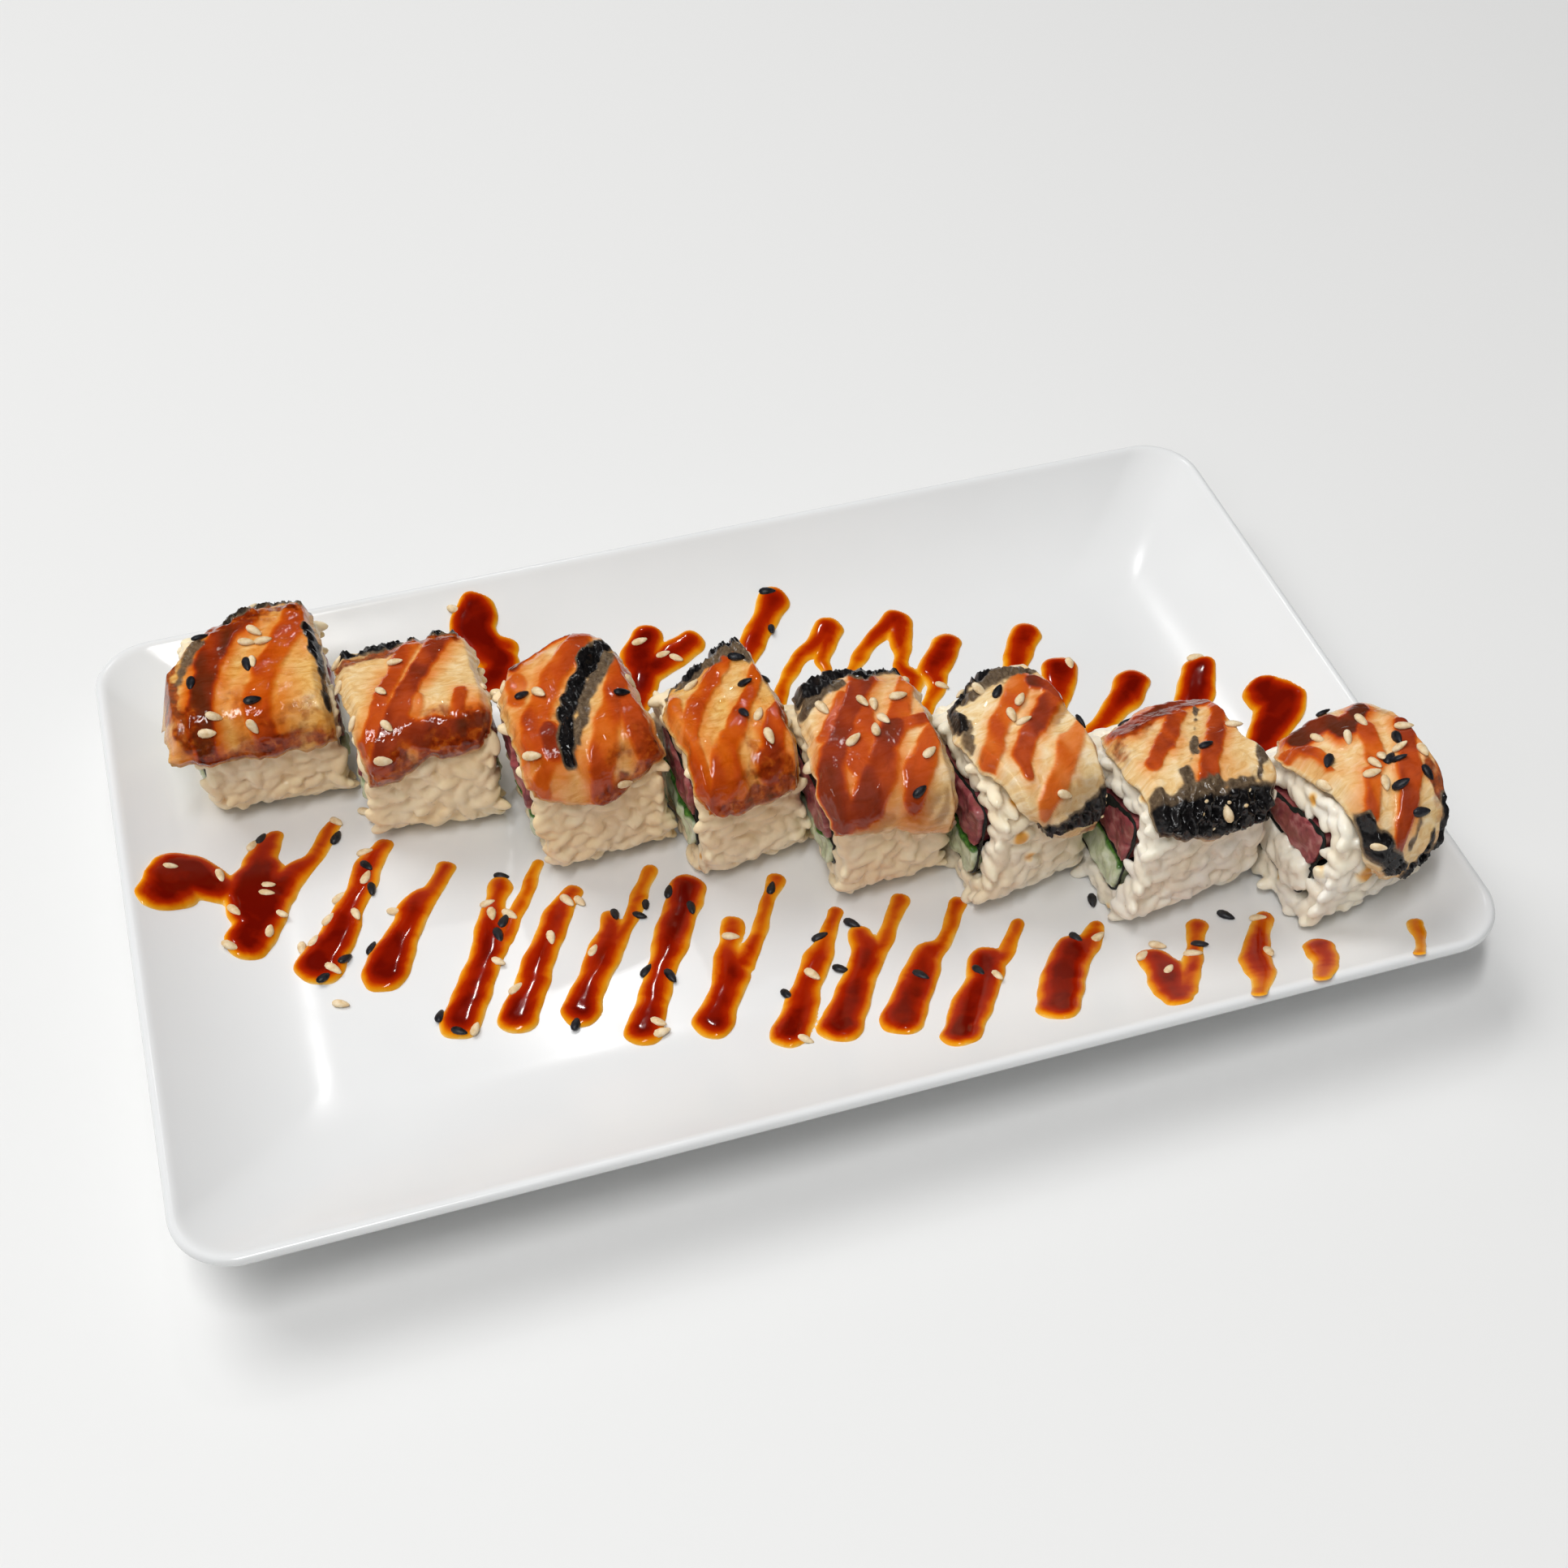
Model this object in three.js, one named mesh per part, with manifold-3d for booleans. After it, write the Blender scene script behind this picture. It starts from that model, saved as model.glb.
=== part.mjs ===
// Eight slices of a grilled-eel roll standing in a stepped row on a rectangular
// porcelain plate with sauce drips. Millimetres, +Z up, origin on the table under
// the middle of the plate, +X along the plate's long side, +Y to its far side.
import * as THREE from 'three';
import { mergeVertices } from 'three/addons/utils/BufferGeometryUtils.js';
import Module from 'manifold-3d';

const wasm = await Module();
wasm.setup();

// ---------------------------------------------------------------- dimensions
// plate: sizes of the lip's centre line, then the wall between lip and floor
const LIP = { halfLong: 126, halfWide: 78.85, corner: 11 };
const WALL = { wide: 34, rise: 12 };
const FLOOR = 8;
const CORNER_STEPS = 5;
// inner and outer profile of the plate, as [inset from the lip line, height]
const LIP_PROFILE = [[1.6, 19.2], [0.6, 20], [-0.8, 20], [-1.8, 19.3], [-2.2, 18.2], [-1.8, 17]];
const UNDER_PROFILE = [[2, 14.4], [8, 10.6], [16, 6.9], [26, 4.1], [36, 2.8], [38.4, 0]];

// roll: rice round a sheet of seaweed round the fillings
const ROUND = 8;
const RICE_RING = 5.4;
const TUNNEL_ROUND = 3.4;
const SHEET = 0.8;
const WALL_LEVEL = 0.46;
const GAP = 0.4;
const GRAIN = 5.2;
const GRAIN_RELIEF = 0.55;
const SOLE_GAP = 0.5;
// eel: a fillet laid over the top and down the front of each slice
const EEL_THICK = 3.4;
const EEL_GAP = 1.1;
const EEL_GRID = [7, 8];
const STRIPE_RELIEF = 0.7;
const SEED = { long: 3.5, wide: 2.1, high: 1.2 };
const SAUCE_HIGH = 1.1;

// The slices from left to right. foot: corners on the plate, near left, near right,
// far right, far left. tall: rice height near and far. lean: how far the left and the
// right cut face run to the right per millimetre of height; lift: height of the sole over
// the floor at the left and the right, for the end slices on the wall. The eel's outline is in
// the slice's own measure: left and right run from far edge to near edge, 1 being the
// cut face; far and near are lengths along the roof, at left, middle and right.
// peak: place across, place along, height. seeds: place across, place along.
const SLICES = [
  {
    foot: [[-108, 30.5], [-80, 30.5], [-79.5, 66], [-108, 66]],
    tall: [25.5, 25], lean: [0, 0],
    lift: [1.5, 0],
    left: [-0.6, -1, -1.38, -1.38, -1.38], right: [0.92, 0.91, 0.95, 0.9, 0.97],
    far: [11, 7, 6], near: [42, 43, 43], peak: [0.4, 0, 2], droop: 7, stripes: [-0.62, 0.2],
    seeds: [[-0.1, 0.33], [-0.3, 0.4], [0.05, 0.4], [-0.2, 0.52], [-0.62, 0.78], [-0.7, 0.86]],
  },
  {
    foot: [[-77.5, 16.3], [-51.4, 13.9], [-49.6, 46.5], [-74.5, 49]],
    tall: [28, 25], lean: [0, 0],
    lift: [0, 0],
    left: [-1.2, -1.18, -1.08, -0.98, -0.91], right: [0.96, 0.98, 1, 1, 0.98],
    far: [7, 7, 7], near: [42, 38, 37], peak: [0.2, 0, 1], droop: 0, stripes: [-0.35, 0.05],
    seeds: [[-0.85, 0.08], [-0.25, 0.2], [-0.5, 0.45], [-0.45, 0.7], [-0.5, 0.92], [0.85, 0.25]],
  },
  {
    foot: [[-44.2, -3.7], [-18.4, -2.5], [-19.9, 30.5], [-45.2, 29.3]],
    tall: [31, 30], lean: [-0.12, -0.12],
    lift: [0, 0],
    left: [-0.7, -0.98, -1, -0.98, -1], right: [0.96, 1.03, 1.05, 1.06, 1.12],
    far: [8, 5, 6], near: [39, 43, 37], peak: [0.4, 0, 4.5], droop: 0, stripes: [-0.35, 0.55],
    seeds: [[-0.62, 0.36], [-0.35, 0.36], [-0.45, 0.8], [0.75, 0.4], [0.5, 0.93]],
  },
  {
    foot: [[-16.1, -14.8], [7.2, -11.4], [3.6, 21.5], [-17.6, 18.5]],
    tall: [30.5, 30], lean: [0, -0.1],
    lift: [0, 0],
    left: [-1, -1.15, -1.08, -1.08, -1], right: [1.12, 1.12, 1.15, 1.04, 0.85],
    far: [13, 8, 6], near: [42, 42, 42], peak: [0.9, 0, 3.5], droop: 0, stripes: [-0.35, 0.45],
    seeds: [[-0.6, 0.2], [0.65, 0.15], [0.55, 0.35], [0.15, 0.5], [0.4, 0.5], [0.35, 0.62]],
  },
  {
    foot: [[9.3, -27.5], [30.3, -26], [29, 8], [7.9, 7]],
    tall: [29, 29.5], lean: [-0.08, 0],
    lift: [0, 0],
    left: [-0.75, -0.86, -1, -1.12, -1.15], right: [1.12, 1.12, 1.12, 1.08, 1.02],
    far: [6, 6, 9], near: [41, 42, 48], peak: [-0.3, 0, 2.5], droop: 0, stripes: [-0.45, 0.1],
    seeds: [
      [-0.5, 0.25], [0.05, 0.25], [0.2, 0.28], [0.5, 0.24],
      [0.05, 0.42], [-0.2, 0.45], [0.7, 0.55], [0.3, 0.8],
    ],
  },
  {
    foot: [[34, -38.5], [56.8, -33.5], [53.8, 1.5], [31.2, -3]],
    tall: [30.5, 29], lean: [0.1, 0.05],
    lift: [0, 0],
    left: [-0.9, -1.12, -1.05, -0.75, -0.3], right: [1, 1.05, 1.08, 1.06, 1],
    far: [11, 7, 8], near: [44, 49, 50], peak: [0.3, 0, 2.5], droop: 0, stripes: [-0.3, 0.2, 0.65],
    seeds: [[-0.65, 0.15], [-0.3, 0.15], [0, 0.12], [-0.05, 0.35], [0.1, 0.38], [0.7, 0.2], [0.35, 0.8]],
  },
  {
    foot: [[57.9, -51], [88.6, -46], [84.2, -11.5], [57.6, -14.5]],
    tall: [30, 25], lean: [0.2, 0.06],
    lift: [0, 0],
    left: [-0.91, -1.02, -1.05, -1.05, -0.97], right: [1.08, 1.03, 0.95, 1, 0.85],
    far: [12, 10, 12], near: [40, 43, 44], peak: [0, 0, 1], droop: 0, stripes: [-0.5, -0.1, 0.45],
    seeds: [[-0.75, 0.12], [0.45, 0.15], [0.25, 0.35], [0.1, 0.84], [0.5, 0.8]],
  },
  {
    foot: [[92.3, -63.5], [117, -59.5], [113.5, -28], [89.2, -30]],
    tall: [28.5, 24.5], lean: [0.22, 0.04],
    lift: [1.5, 4],
    left: [-1.2, -1.05, -0.95, -0.75, -0.2], right: [1.25, 1.3, 1.1, 0.95, 0.7],
    far: [11, 8, 8], near: [48, 50, 48], peak: [0.2, 0, 1.5], droop: 0, stripes: [-0.5, 0.1, 0.6],
    seeds: [
      [-0.4, 0.3], [0, 0.25], [0.3, 0.2], [-0.3, 0.45],
      [0.25, 0.45], [0.4, 0.5], [0.3, 0.56], [0.55, 0.55],
    ],
  },
];

// Sauce drips on the plate, as [x, y, half width] from their start to their end.
const NEAR_DRIPS = [
  [[-121.9, 7.9, 3.4], [-118.5, 11, 5], [-115.8, 15.7, 5.7], [-110, 11.9, 4.4]],
  [[-97.4, 25, 2.1], [-100.7, 20, 3.3], [-101.4, 15.6, 4.6], [-102.6, 11.6, 5.8], [-103.3, 7, 6.4], [-103.5, 2.1, 4.9], [-106.5, -3.1, 4.2]],
  [[-85.2, 25.1, 1.9], [-88, 21.2, 2], [-91.1, 17.3, 2.1], [-95, 14.2, 3.1], [-99.1, 9.8, 4.1]],
  [[-76.6, 16.6, 2.2], [-79.9, 12.4, 2.9], [-82.5, 7.1, 2.9], [-85.3, 2.7, 3.2], [-87.2, -0.9, 3.6], [-89.7, -5.2, 4.2], [-93.5, -10.8, 5]],
  [[-65.5, 7, 2.1], [-68.9, 1.6, 2.1], [-72.9, -1.2, 3.4], [-75.2, -5.3, 3.5], [-78.3, -10.3, 4], [-82, -16.5, 4.7]],
  [[-55.5, -1, 2.5], [-57.5, -4.7, 2.2], [-59.1, -9, 2.9], [-60.5, -14.4, 3.7], [-62.8, -19.6, 3.7], [-65.9, -25, 3.6], [-70, -32.6, 4.2]],
  [[-47, 2.5, 1.3], [-50.3, -2.8, 1.6], [-53.8, -8.5, 1.7], [-57.8, -14.8, 2]],
  [[-42, -7, 2], [-45.6, -11.1, 2.9], [-48.3, -15.1, 3.1], [-50.9, -19.7, 3.3], [-53.4, -24, 3.2], [-55.8, -28.7, 3.5], [-59.2, -34.6, 4.1]],
  [[-36.8, -15.1, 1.6], [-37.2, -19, 2.7], [-38.8, -22.8, 3.5], [-41.9, -27.5, 3.3], [-44.9, -32.3, 3.5], [-47.4, -36.6, 4]],
  [[-25.8, -5.8, 1.7], [-29.6, -12.3, 1.7], [-33, -17.7, 1.7], [-36.9, -22.5, 2.1]],
  [[-19.8, -13, 3.9], [-23.6, -19.9, 3.9], [-26.7, -25.4, 3.6], [-29.3, -30.2, 3.1], [-31.5, -34.4, 3.1], [-33.9, -38.7, 3.3], [-36.8, -44.4, 4]],
  [[-19, -17.4, 1.2], [-22.1, -21.1, 1.6], [-25.2, -25, 2]],
  [[-13.5, -24.5, 2.4], [-15.7, -29.1, 2.2], [-16.7, -33.1, 3.1], [-17.5, -37, 3.6], [-20.2, -41.4, 3.6], [-23.8, -46.8, 4.1]],
  [[-2, -15.8, 1.9], [-6.7, -23.7, 1.5], [-10.5, -29.6, 2], [-14.4, -34.5, 2.5]],
  [[6.6, -27.9, 1.7], [3, -33.8, 2], [-0.4, -38.1, 2.9], [-3.5, -43, 2.8], [-6.6, -48, 3.4], [-10.6, -53.9, 4.2]],
  [[10, -34.6, 2.5], [9.8, -38.8, 3.3], [8.1, -42.3, 3.5], [5.5, -45.9, 3.5], [2.3, -50.5, 4], [-1.2, -55.8, 4.5]],
  [[20, -28.9, 2.2], [15.5, -35.1, 1.7], [11.2, -40.2, 2]],
  [[31.1, -32.8, 2], [27.9, -37, 1.6], [24.4, -41.5, 1.8], [21, -43.4, 3.1], [18.3, -46.9, 3.6], [14.8, -51.6, 4], [10.1, -58.6, 4.2]],
  [[40.6, -40.9, 1.5], [35.4, -47.7, 1.7], [31.3, -48.5, 3.8], [28.9, -53.1, 3.8], [24.5, -58.5, 3.9], [19, -66.8, 4.1]],
  [[55.8, -45.9, 1.4], [51.8, -49.9, 2.7], [48.3, -51.5, 4.1], [43.1, -58.4, 4.5], [38.9, -66, 4.3]],
  [[62.2, -58.9, 3.4], [62.3, -63.2, 4], [60.9, -67.9, 3.8], [59.6, -73, 3.1]],
  [[74.1, -52.9, 2.4], [71.6, -57.6, 1.6], [68.5, -61.9, 2.2], [65.7, -66.4, 2.2], [62.2, -71.4, 2.2]],
  [[87.9, -55, 2], [83.4, -60.3, 2.4], [80.3, -65.1, 3.2], [78.4, -70.2, 2.9], [75.7, -75.7, 1.9], [73.5, -79, 1.6]],
  [[92.6, -67.6, 3.1], [89.6, -74.6, 2.4], [86.5, -79, 1.9]],
  [[112.4, -69, 1.6], [109.4, -75.2, 1.1], [106.6, -79, 1.2]],
];
const FAR_DRIPS = [
  [[-44.9, 71.6, 4.8], [-46.3, 68.6, 5.2], [-44.2, 63.1, 4.6], [-42.5, 59.6, 4.2], [-46, 55, 3.6]],
  [[-45, 65.4, 3.6], [-42.5, 64.4, 3], [-40, 63.5, 2.5]],
  [[-9.6, 58.1, 4.1], [-12.1, 54.6, 4.3], [-12.6, 50.3, 4.2], [-13.9, 46.1, 3.8], [-16.3, 42.1, 3.3], [-19, 38, 3]],
  [[-0.1, 55.6, 3.4], [-4.3, 53.6, 3.5], [-8.1, 51.5, 3.7], [-12, 50, 3.9]],
  [[20.9, 61.4, 3.7], [17.9, 57.4, 3.2], [14.9, 54.2, 3.1], [12.3, 50.8, 3], [9.8, 47, 2.5], [7, 42.9, 2], [4, 39, 1.5]],
  [[30.8, 51.5, 3.4], [26.7, 48, 2.8], [22.8, 45.4, 2.1], [19.4, 41.7, 1.8], [16.1, 37.6, 1.8], [13.7, 32.9, 1.9], [10, 29, 1.9]],
  [[31, 51, 3.1], [29.1, 46.8, 2.4], [26.7, 42.4, 1.8], [26.2, 37.7, 1.1], [24, 32, 1.1]],
  [[46.5, 49.8, 3.3], [41.5, 47.1, 2.5], [37.3, 43.8, 1.9], [33.8, 39.8, 1.7], [30.7, 35.6, 1.6], [27.4, 31.4, 1.6], [24, 27, 1.6]],
  [[46.9, 48.4, 3.2], [45.5, 43.2, 2.6], [43.9, 38.6, 1.9], [42.8, 34.9, 2], [43.9, 30.9, 2.6], [41, 26, 2.3]],
  [[54.8, 39.5, 3.5], [52, 35.7, 3.8], [49, 32, 3.3], [48.1, 27.1, 2.1], [44.8, 22.4, 1.8], [41.4, 18.1, 1.6], [38, 14, 1.6]],
  [[73, 37.2, 3.7], [70.3, 33.2, 3.4], [67.5, 29.3, 3], [65.2, 25.1, 2.8], [63.2, 20.8, 2.6], [61.1, 16.4, 2.4], [59, 12, 2.2]],
  [[76.1, 24.2, 4.3], [74.6, 20.6, 3.5], [72.5, 16.5, 2.8], [70.6, 11.9, 2.4], [69.6, 6.9, 2.3], [68.7, 1.8, 2.3], [68, -3, 2.2]],
  [[89.8, 16, 4], [86.7, 12, 3.8], [82.9, 9, 3.1], [78.8, 6.1, 2.6], [75.3, 3.3, 2.5], [74, -2, 2.2]],
  [[104.5, 13.6, 4], [101, 7.5, 4], [97, 3, 3.4], [92, -1, 2.8], [88, -7, 2.2]],
  [[113.5, 0.5, 4.3], [114.8, -4.5, 5.1], [112, -8, 4.9], [108.5, -11, 4.2], [106.4, -15, 3.6], [106, -19, 2.8]],
];
// share of the way along each near drip at which a sesame seed lies on it
const DRIP_SEEDS = [
  [0.4, 0.95], [0.1, 0.5, 0.62, 0.95], [0.5], [0.15, 0.3, 0.6, 0.9], [0.1, 0.45, 0.95],
  [0.1, 0.35, 0.6, 0.97],
  [0.35], [0.1, 0.45, 0.8], [0.1, 0.4, 0.95], [0.3, 0.7], [0.2, 0.5, 0.97], [0.4], [0.15, 0.6, 0.9],
  [0.3, 0.8], [0.2, 0.55, 0.95], [0.1, 0.5, 0.75], [0.4], [0.15, 0.65], [0.2, 0.6], [0.3, 0.7],
  [0.2, 0.8], [0.15, 0.5], [0.15, 0.4], [], [],
];
// loose seeds on bare porcelain
const LOOSE_SEEDS = [[-87, -22], [49, -49], [53, -52], [79, -55], [4, 63], [-80, 10], [-34, -9], [70, 43]];

const COLOURS = {
  plate: 0xf1f2f0, rice: 0xe6e4dc, nori: 0x14171a, tuna: 0x6a2f38, cucumber: 0xb9cba0,
  clump: 0xdfe4e2, eel: 0xc98a4a,
};

// ------------------------------------------------------------------- helpers
function seeded(seed) {
  let s = seed;
  return () => {
    s = (s * 16807) % 2147483647;
    return (s - 1) / 2147483646;
  };
}

const mix = (a, b, t) => a + (b - a) * t;
const mix2 = (p, q, t) => [mix(p[0], q[0], t), mix(p[1], q[1], t)];

// value of an evenly spaced row at t from 0 to 1, smooth between its entries
function along(row, t) {
  const k = THREE.MathUtils.clamp(t, 0, 1) * (row.length - 1);
  const i = Math.min(Math.floor(k), row.length - 2);
  return mix(row[i], row[i + 1], THREE.MathUtils.smoothstep(k - i, 0, 1) * 0.5 + (k - i) * 0.5);
}

// three entries at left, middle and right
const across = (row, a) => (a < 0 ? mix(row[1], row[0], -a) : mix(row[1], row[2], a));

// closed index buffer without doubled vertices or empty triangles
function closedBody(geometry) {
  const bare = new THREE.BufferGeometry();
  bare.setAttribute('position', geometry.getAttribute('position').clone());
  if (geometry.index) bare.setIndex(geometry.index.clone());
  const body = mergeVertices(bare, 1e-4);
  const kept = [];
  const idx = body.index.array;
  for (let i = 0; i < idx.length; i += 3) {
    const [a, b, c] = [idx[i], idx[i + 1], idx[i + 2]];
    if (a !== b && b !== c && c !== a) kept.push(a, b, c);
  }
  body.setIndex(kept);
  return body;
}

function signedVolume(body) {
  const p = body.getAttribute('position');
  const [a, b, c] = [new THREE.Vector3(), new THREE.Vector3(), new THREE.Vector3()];
  let sum = 0;
  for (let i = 0; i < body.index.count; i += 3) {
    a.fromBufferAttribute(p, body.index.getX(i));
    b.fromBufferAttribute(p, body.index.getX(i + 1));
    c.fromBufferAttribute(p, body.index.getX(i + 2));
    sum += a.dot(b.cross(c)) / 6;
  }
  return sum;
}

// geometry whose every vertex has been moved by a rule, as a solid facing outwards
function solid(geometry, rule = (v) => v) {
  const body = closedBody(geometry);
  const p = body.getAttribute('position');
  const v = new THREE.Vector3();
  for (let i = 0; i < p.count; i += 1) {
    v.fromBufferAttribute(p, i);
    const moved = rule(v, i);
    p.setXYZ(i, moved.x, moved.y, moved.z);
  }
  const idx = Array.from(body.index.array);
  if (signedVolume(body) < 0) idx.reverse();
  return new wasm.Manifold(new wasm.Mesh({
    numProp: 3, vertProperties: new Float32Array(p.array), triVerts: new Uint32Array(idx),
  }));
}

// mesh of the largest piece of a solid; loose scraps from the cuts are dropped
function meshOf(name, body, colour, roughness) {
  const parts = body.decompose().sort((a, b) => b.volume() - a.volume());
  const raw = parts[0].getMesh();
  const geometry = new THREE.BufferGeometry();
  geometry.setAttribute('position', new THREE.BufferAttribute(new Float32Array(raw.vertProperties), 3));
  geometry.setIndex(Array.from(raw.triVerts));
  const mesh = new THREE.Mesh(geometry, new THREE.MeshStandardMaterial({ color: colour, roughness }));
  mesh.name = name;
  return mesh;
}

// --------------------------------------------------------------------- plate
// height of the plate's upper surface
function plateTop(x, y) {
  const ax = Math.abs(x);
  const ay = Math.abs(y);
  let inset = Math.min(LIP.halfLong - ax, LIP.halfWide - ay);
  const cx = ax - (LIP.halfLong - LIP.corner);
  const cy = ay - (LIP.halfWide - LIP.corner);
  if (cx + inset > 0 && cy + inset > 0) {
    const root = (cx + cy) ** 2 - 2 * (cx * cx + cy * cy - LIP.corner ** 2);
    inset = (Math.sqrt(Math.max(root, 0)) - cx - cy) / 2;
  }
  const up = Math.max(0, 1 - inset / WALL.wide);
  return FLOOR + WALL.rise * up * up;
}

// point on the rounded rectangle that lies a given distance inside the lip line
function contour(turn, inset) {
  const steps = CORNER_STEPS + 1;
  const k = Math.round(turn * 4 * steps) % (4 * steps);
  const quarter = Math.floor(k / steps);
  const angle = (quarter + Math.min(k % steps, CORNER_STEPS) / CORNER_STEPS) * (Math.PI / 2);
  const radius = LIP.corner + Math.max(0, -inset);
  const out = Math.max(0, inset);
  const sx = quarter === 0 || quarter === 3 ? 1 : -1;
  const sy = quarter < 2 ? 1 : -1;
  return [
    sx * (LIP.halfLong - LIP.corner - out) + radius * Math.cos(angle),
    sy * (LIP.halfWide - LIP.corner - out) + radius * Math.sin(angle),
  ];
}

function plateSolid() {
  const inner = [34, 28, 22.5, 17, 12, 7.5, 4].map((d) => [d, FLOOR + WALL.rise * (1 - d / WALL.wide) ** 2]);
  const rings = [...inner, ...LIP_PROFILE, ...UNDER_PROFILE];
  // the lathe carries the ring's number as radius; the rule then lays the ring out
  const points = rings.map((ring, i) => new THREE.Vector2(10 + i * 0.01, i));
  points.unshift(new THREE.Vector2(0, -1));
  points.push(new THREE.Vector2(0, rings.length));
  const turns = 4 * (CORNER_STEPS + 1);
  return solid(new THREE.LatheGeometry(points, turns), (v) => {
    const ring = Math.round(v.y);
    if (ring < 0) return new THREE.Vector3(0, 0, FLOOR);
    if (ring >= rings.length) return new THREE.Vector3(0, 0, 0);
    const turn = (Math.atan2(v.x, v.z) / (2 * Math.PI) + 1) % 1;
    const [inset, z] = rings[ring];
    const [x, y] = contour(turn, inset);
    return new THREE.Vector3(x, y, z);
  });
}

// a bead of sauce along its stations, sunk into the porcelain below it
function dripSolid(stations) {
  const curve = new THREE.CatmullRomCurve3(stations.map(([x, y]) => new THREE.Vector3(x, y, 0)));
  const widths = stations.map((s) => s[2]);
  const steps = stations.length + 1;
  return solid(new THREE.BoxGeometry(1, 1, 1, steps, 2, 1), (v) => {
    const t = v.x + 0.5;
    const end = Math.abs(v.x) > 0.499;
    const at = curve.getPoint(t);
    const dir = curve.getTangent(t);
    const half = along(widths, t);
    const push = end ? Math.sign(v.x) * half * 0.8 : 0;
    const side = v.y * 2 * half * (end ? 0.5 : 1);
    const x = at.x + dir.x * push - dir.y * side;
    const y = at.y + dir.y * push + dir.x * side;
    const crown = Math.abs(v.y) < 0.1 && !end ? SAUCE_HIGH * Math.min(1, 0.5 + half / 8) : -0.12;
    return new THREE.Vector3(x, y, plateTop(x, y) + (v.z > 0 ? crown : -1));
  });
}

function seedSolid(place, normal, turn) {
  const up = new THREE.Vector3(0, 0, 1);
  const spin = new THREE.Quaternion().setFromAxisAngle(up, turn);
  const tilt = new THREE.Quaternion().setFromUnitVectors(up, normal);
  return solid(new THREE.SphereGeometry(0.5, 5, 3), (v) => {
    const q = new THREE.Vector3(v.x * SEED.long, v.y * SEED.wide, v.z * SEED.high);
    return q.applyQuaternion(spin).applyQuaternion(tilt).add(place);
  });
}

function plateSeeds() {
  const random = seeded(811);
  const seeds = [];
  NEAR_DRIPS.forEach((stations, i) => {
    const curve = new THREE.CatmullRomCurve3(stations.map(([x, y]) => new THREE.Vector3(x, y, 0)));
    const widths = stations.map((s) => s[2]);
    DRIP_SEEDS[i].forEach((t) => {
      const at = curve.getPoint(t);
      const dir = curve.getTangent(t);
      const side = (random() - 0.5) * along(widths, t) * 1.2;
      seeds.push([at.x - dir.y * side, at.y + dir.x * side, SAUCE_HIGH * 0.75]);
    });
  });
  LOOSE_SEEDS.forEach(([x, y]) => seeds.push([x, y, 0.35]));
  return seeds.map(([x, y, up]) => {
    const place = new THREE.Vector3(x, y, plateTop(x, y) + up);
    return seedSolid(place, new THREE.Vector3(0, 0, 1), random() * Math.PI);
  });
}

// -------------------------------------------------------------------- slices
// size and axes of a slice from its foot
function measure(slice) {
  const [nl, nr, fr, fl] = slice.foot;
  const near = mix2(nl, nr, 0.5);
  const far = mix2(fl, fr, 0.5);
  const thick = Math.hypot(nr[0] - nl[0], nr[1] - nl[1]);
  return {
    thick,
    deep: Math.hypot(far[0] - near[0], far[1] - near[1]),
    axis: [(nr[0] - nl[0]) / thick, (nr[1] - nl[1]) / thick],
  };
}

// a: -1 at the left cut face, 1 at the right one; y from the near side; z from the sole
function place(slice, size, a, y, z) {
  const [nl, nr, fr, fl] = slice.foot;
  const t = (a + 1) / 2;
  const ground = mix2(mix2(nl, nr, t), mix2(fl, fr, t), y / size.deep);
  const shift = mix(slice.lean[0], slice.lean[1], t) * z;
  const base = FLOOR + mix(slice.lift[0], slice.lift[1], t);
  return new THREE.Vector3(ground[0] + size.axis[0] * shift, ground[1] + size.axis[1] * shift, base + z);
}

// closed outline between near and far side, bottom and a top that slopes from near to far
function rounded(y0, y1, z0, near, far, r) {
  const s = new THREE.Shape();
  s.moveTo(y0 + r, z0);
  s.lineTo(y1 - r, z0);
  s.absarc(y1 - r, z0 + r, r, -Math.PI / 2, 0, false);
  s.lineTo(y1, far - r);
  s.absarc(y1 - r, far - r, r, 0, Math.PI / 2, false);
  s.lineTo(y0 + r, near);
  s.absarc(y0 + r, near - r, r, Math.PI / 2, Math.PI, false);
  s.lineTo(y0, z0 + r);
  s.absarc(y0 + r, z0 + r, r, Math.PI, 1.5 * Math.PI, false);
  return s;
}

// outline of the roll drawn in by a distance
function section(slice, size, inside) {
  const [near, far] = slice.tall;
  const r = inside > 0 ? Math.max(TUNNEL_ROUND - (inside - RICE_RING), 0.8) : ROUND;
  return rounded(inside, size.deep - inside, inside, near - inside, far - inside, r);
}

// the two openings of the seaweed loop, drawn in by a distance
function openings(slice, size, inside) {
  const [y0, y1] = [RICE_RING + GAP + SHEET + inside, size.deep - RICE_RING - GAP - SHEET - inside];
  const half = SHEET / 2 + inside;
  const level = slice.tall[0] * WALL_LEVEL;
  const [near, far] = slice.tall.map((z) => z - y0);
  const r = 1.6 - inside;
  return [
    rounded(y0, y1, level + half, near, far, r),
    rounded(y0, y1, y0, level - half, level - half, r),
  ];
}

// body of a section that runs through the slice; reach 1 ends it at the cut faces
function throughBody(slice, size, shape, reach) {
  const straight = { depth: 1, steps: 1, bevelEnabled: false, curveSegments: 1 };
  return solid(new THREE.ExtrudeGeometry(shape, straight), (v) => (
    place(slice, size, (v.z * 2 - 1) * reach, v.x, v.y)
  ));
}

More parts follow.
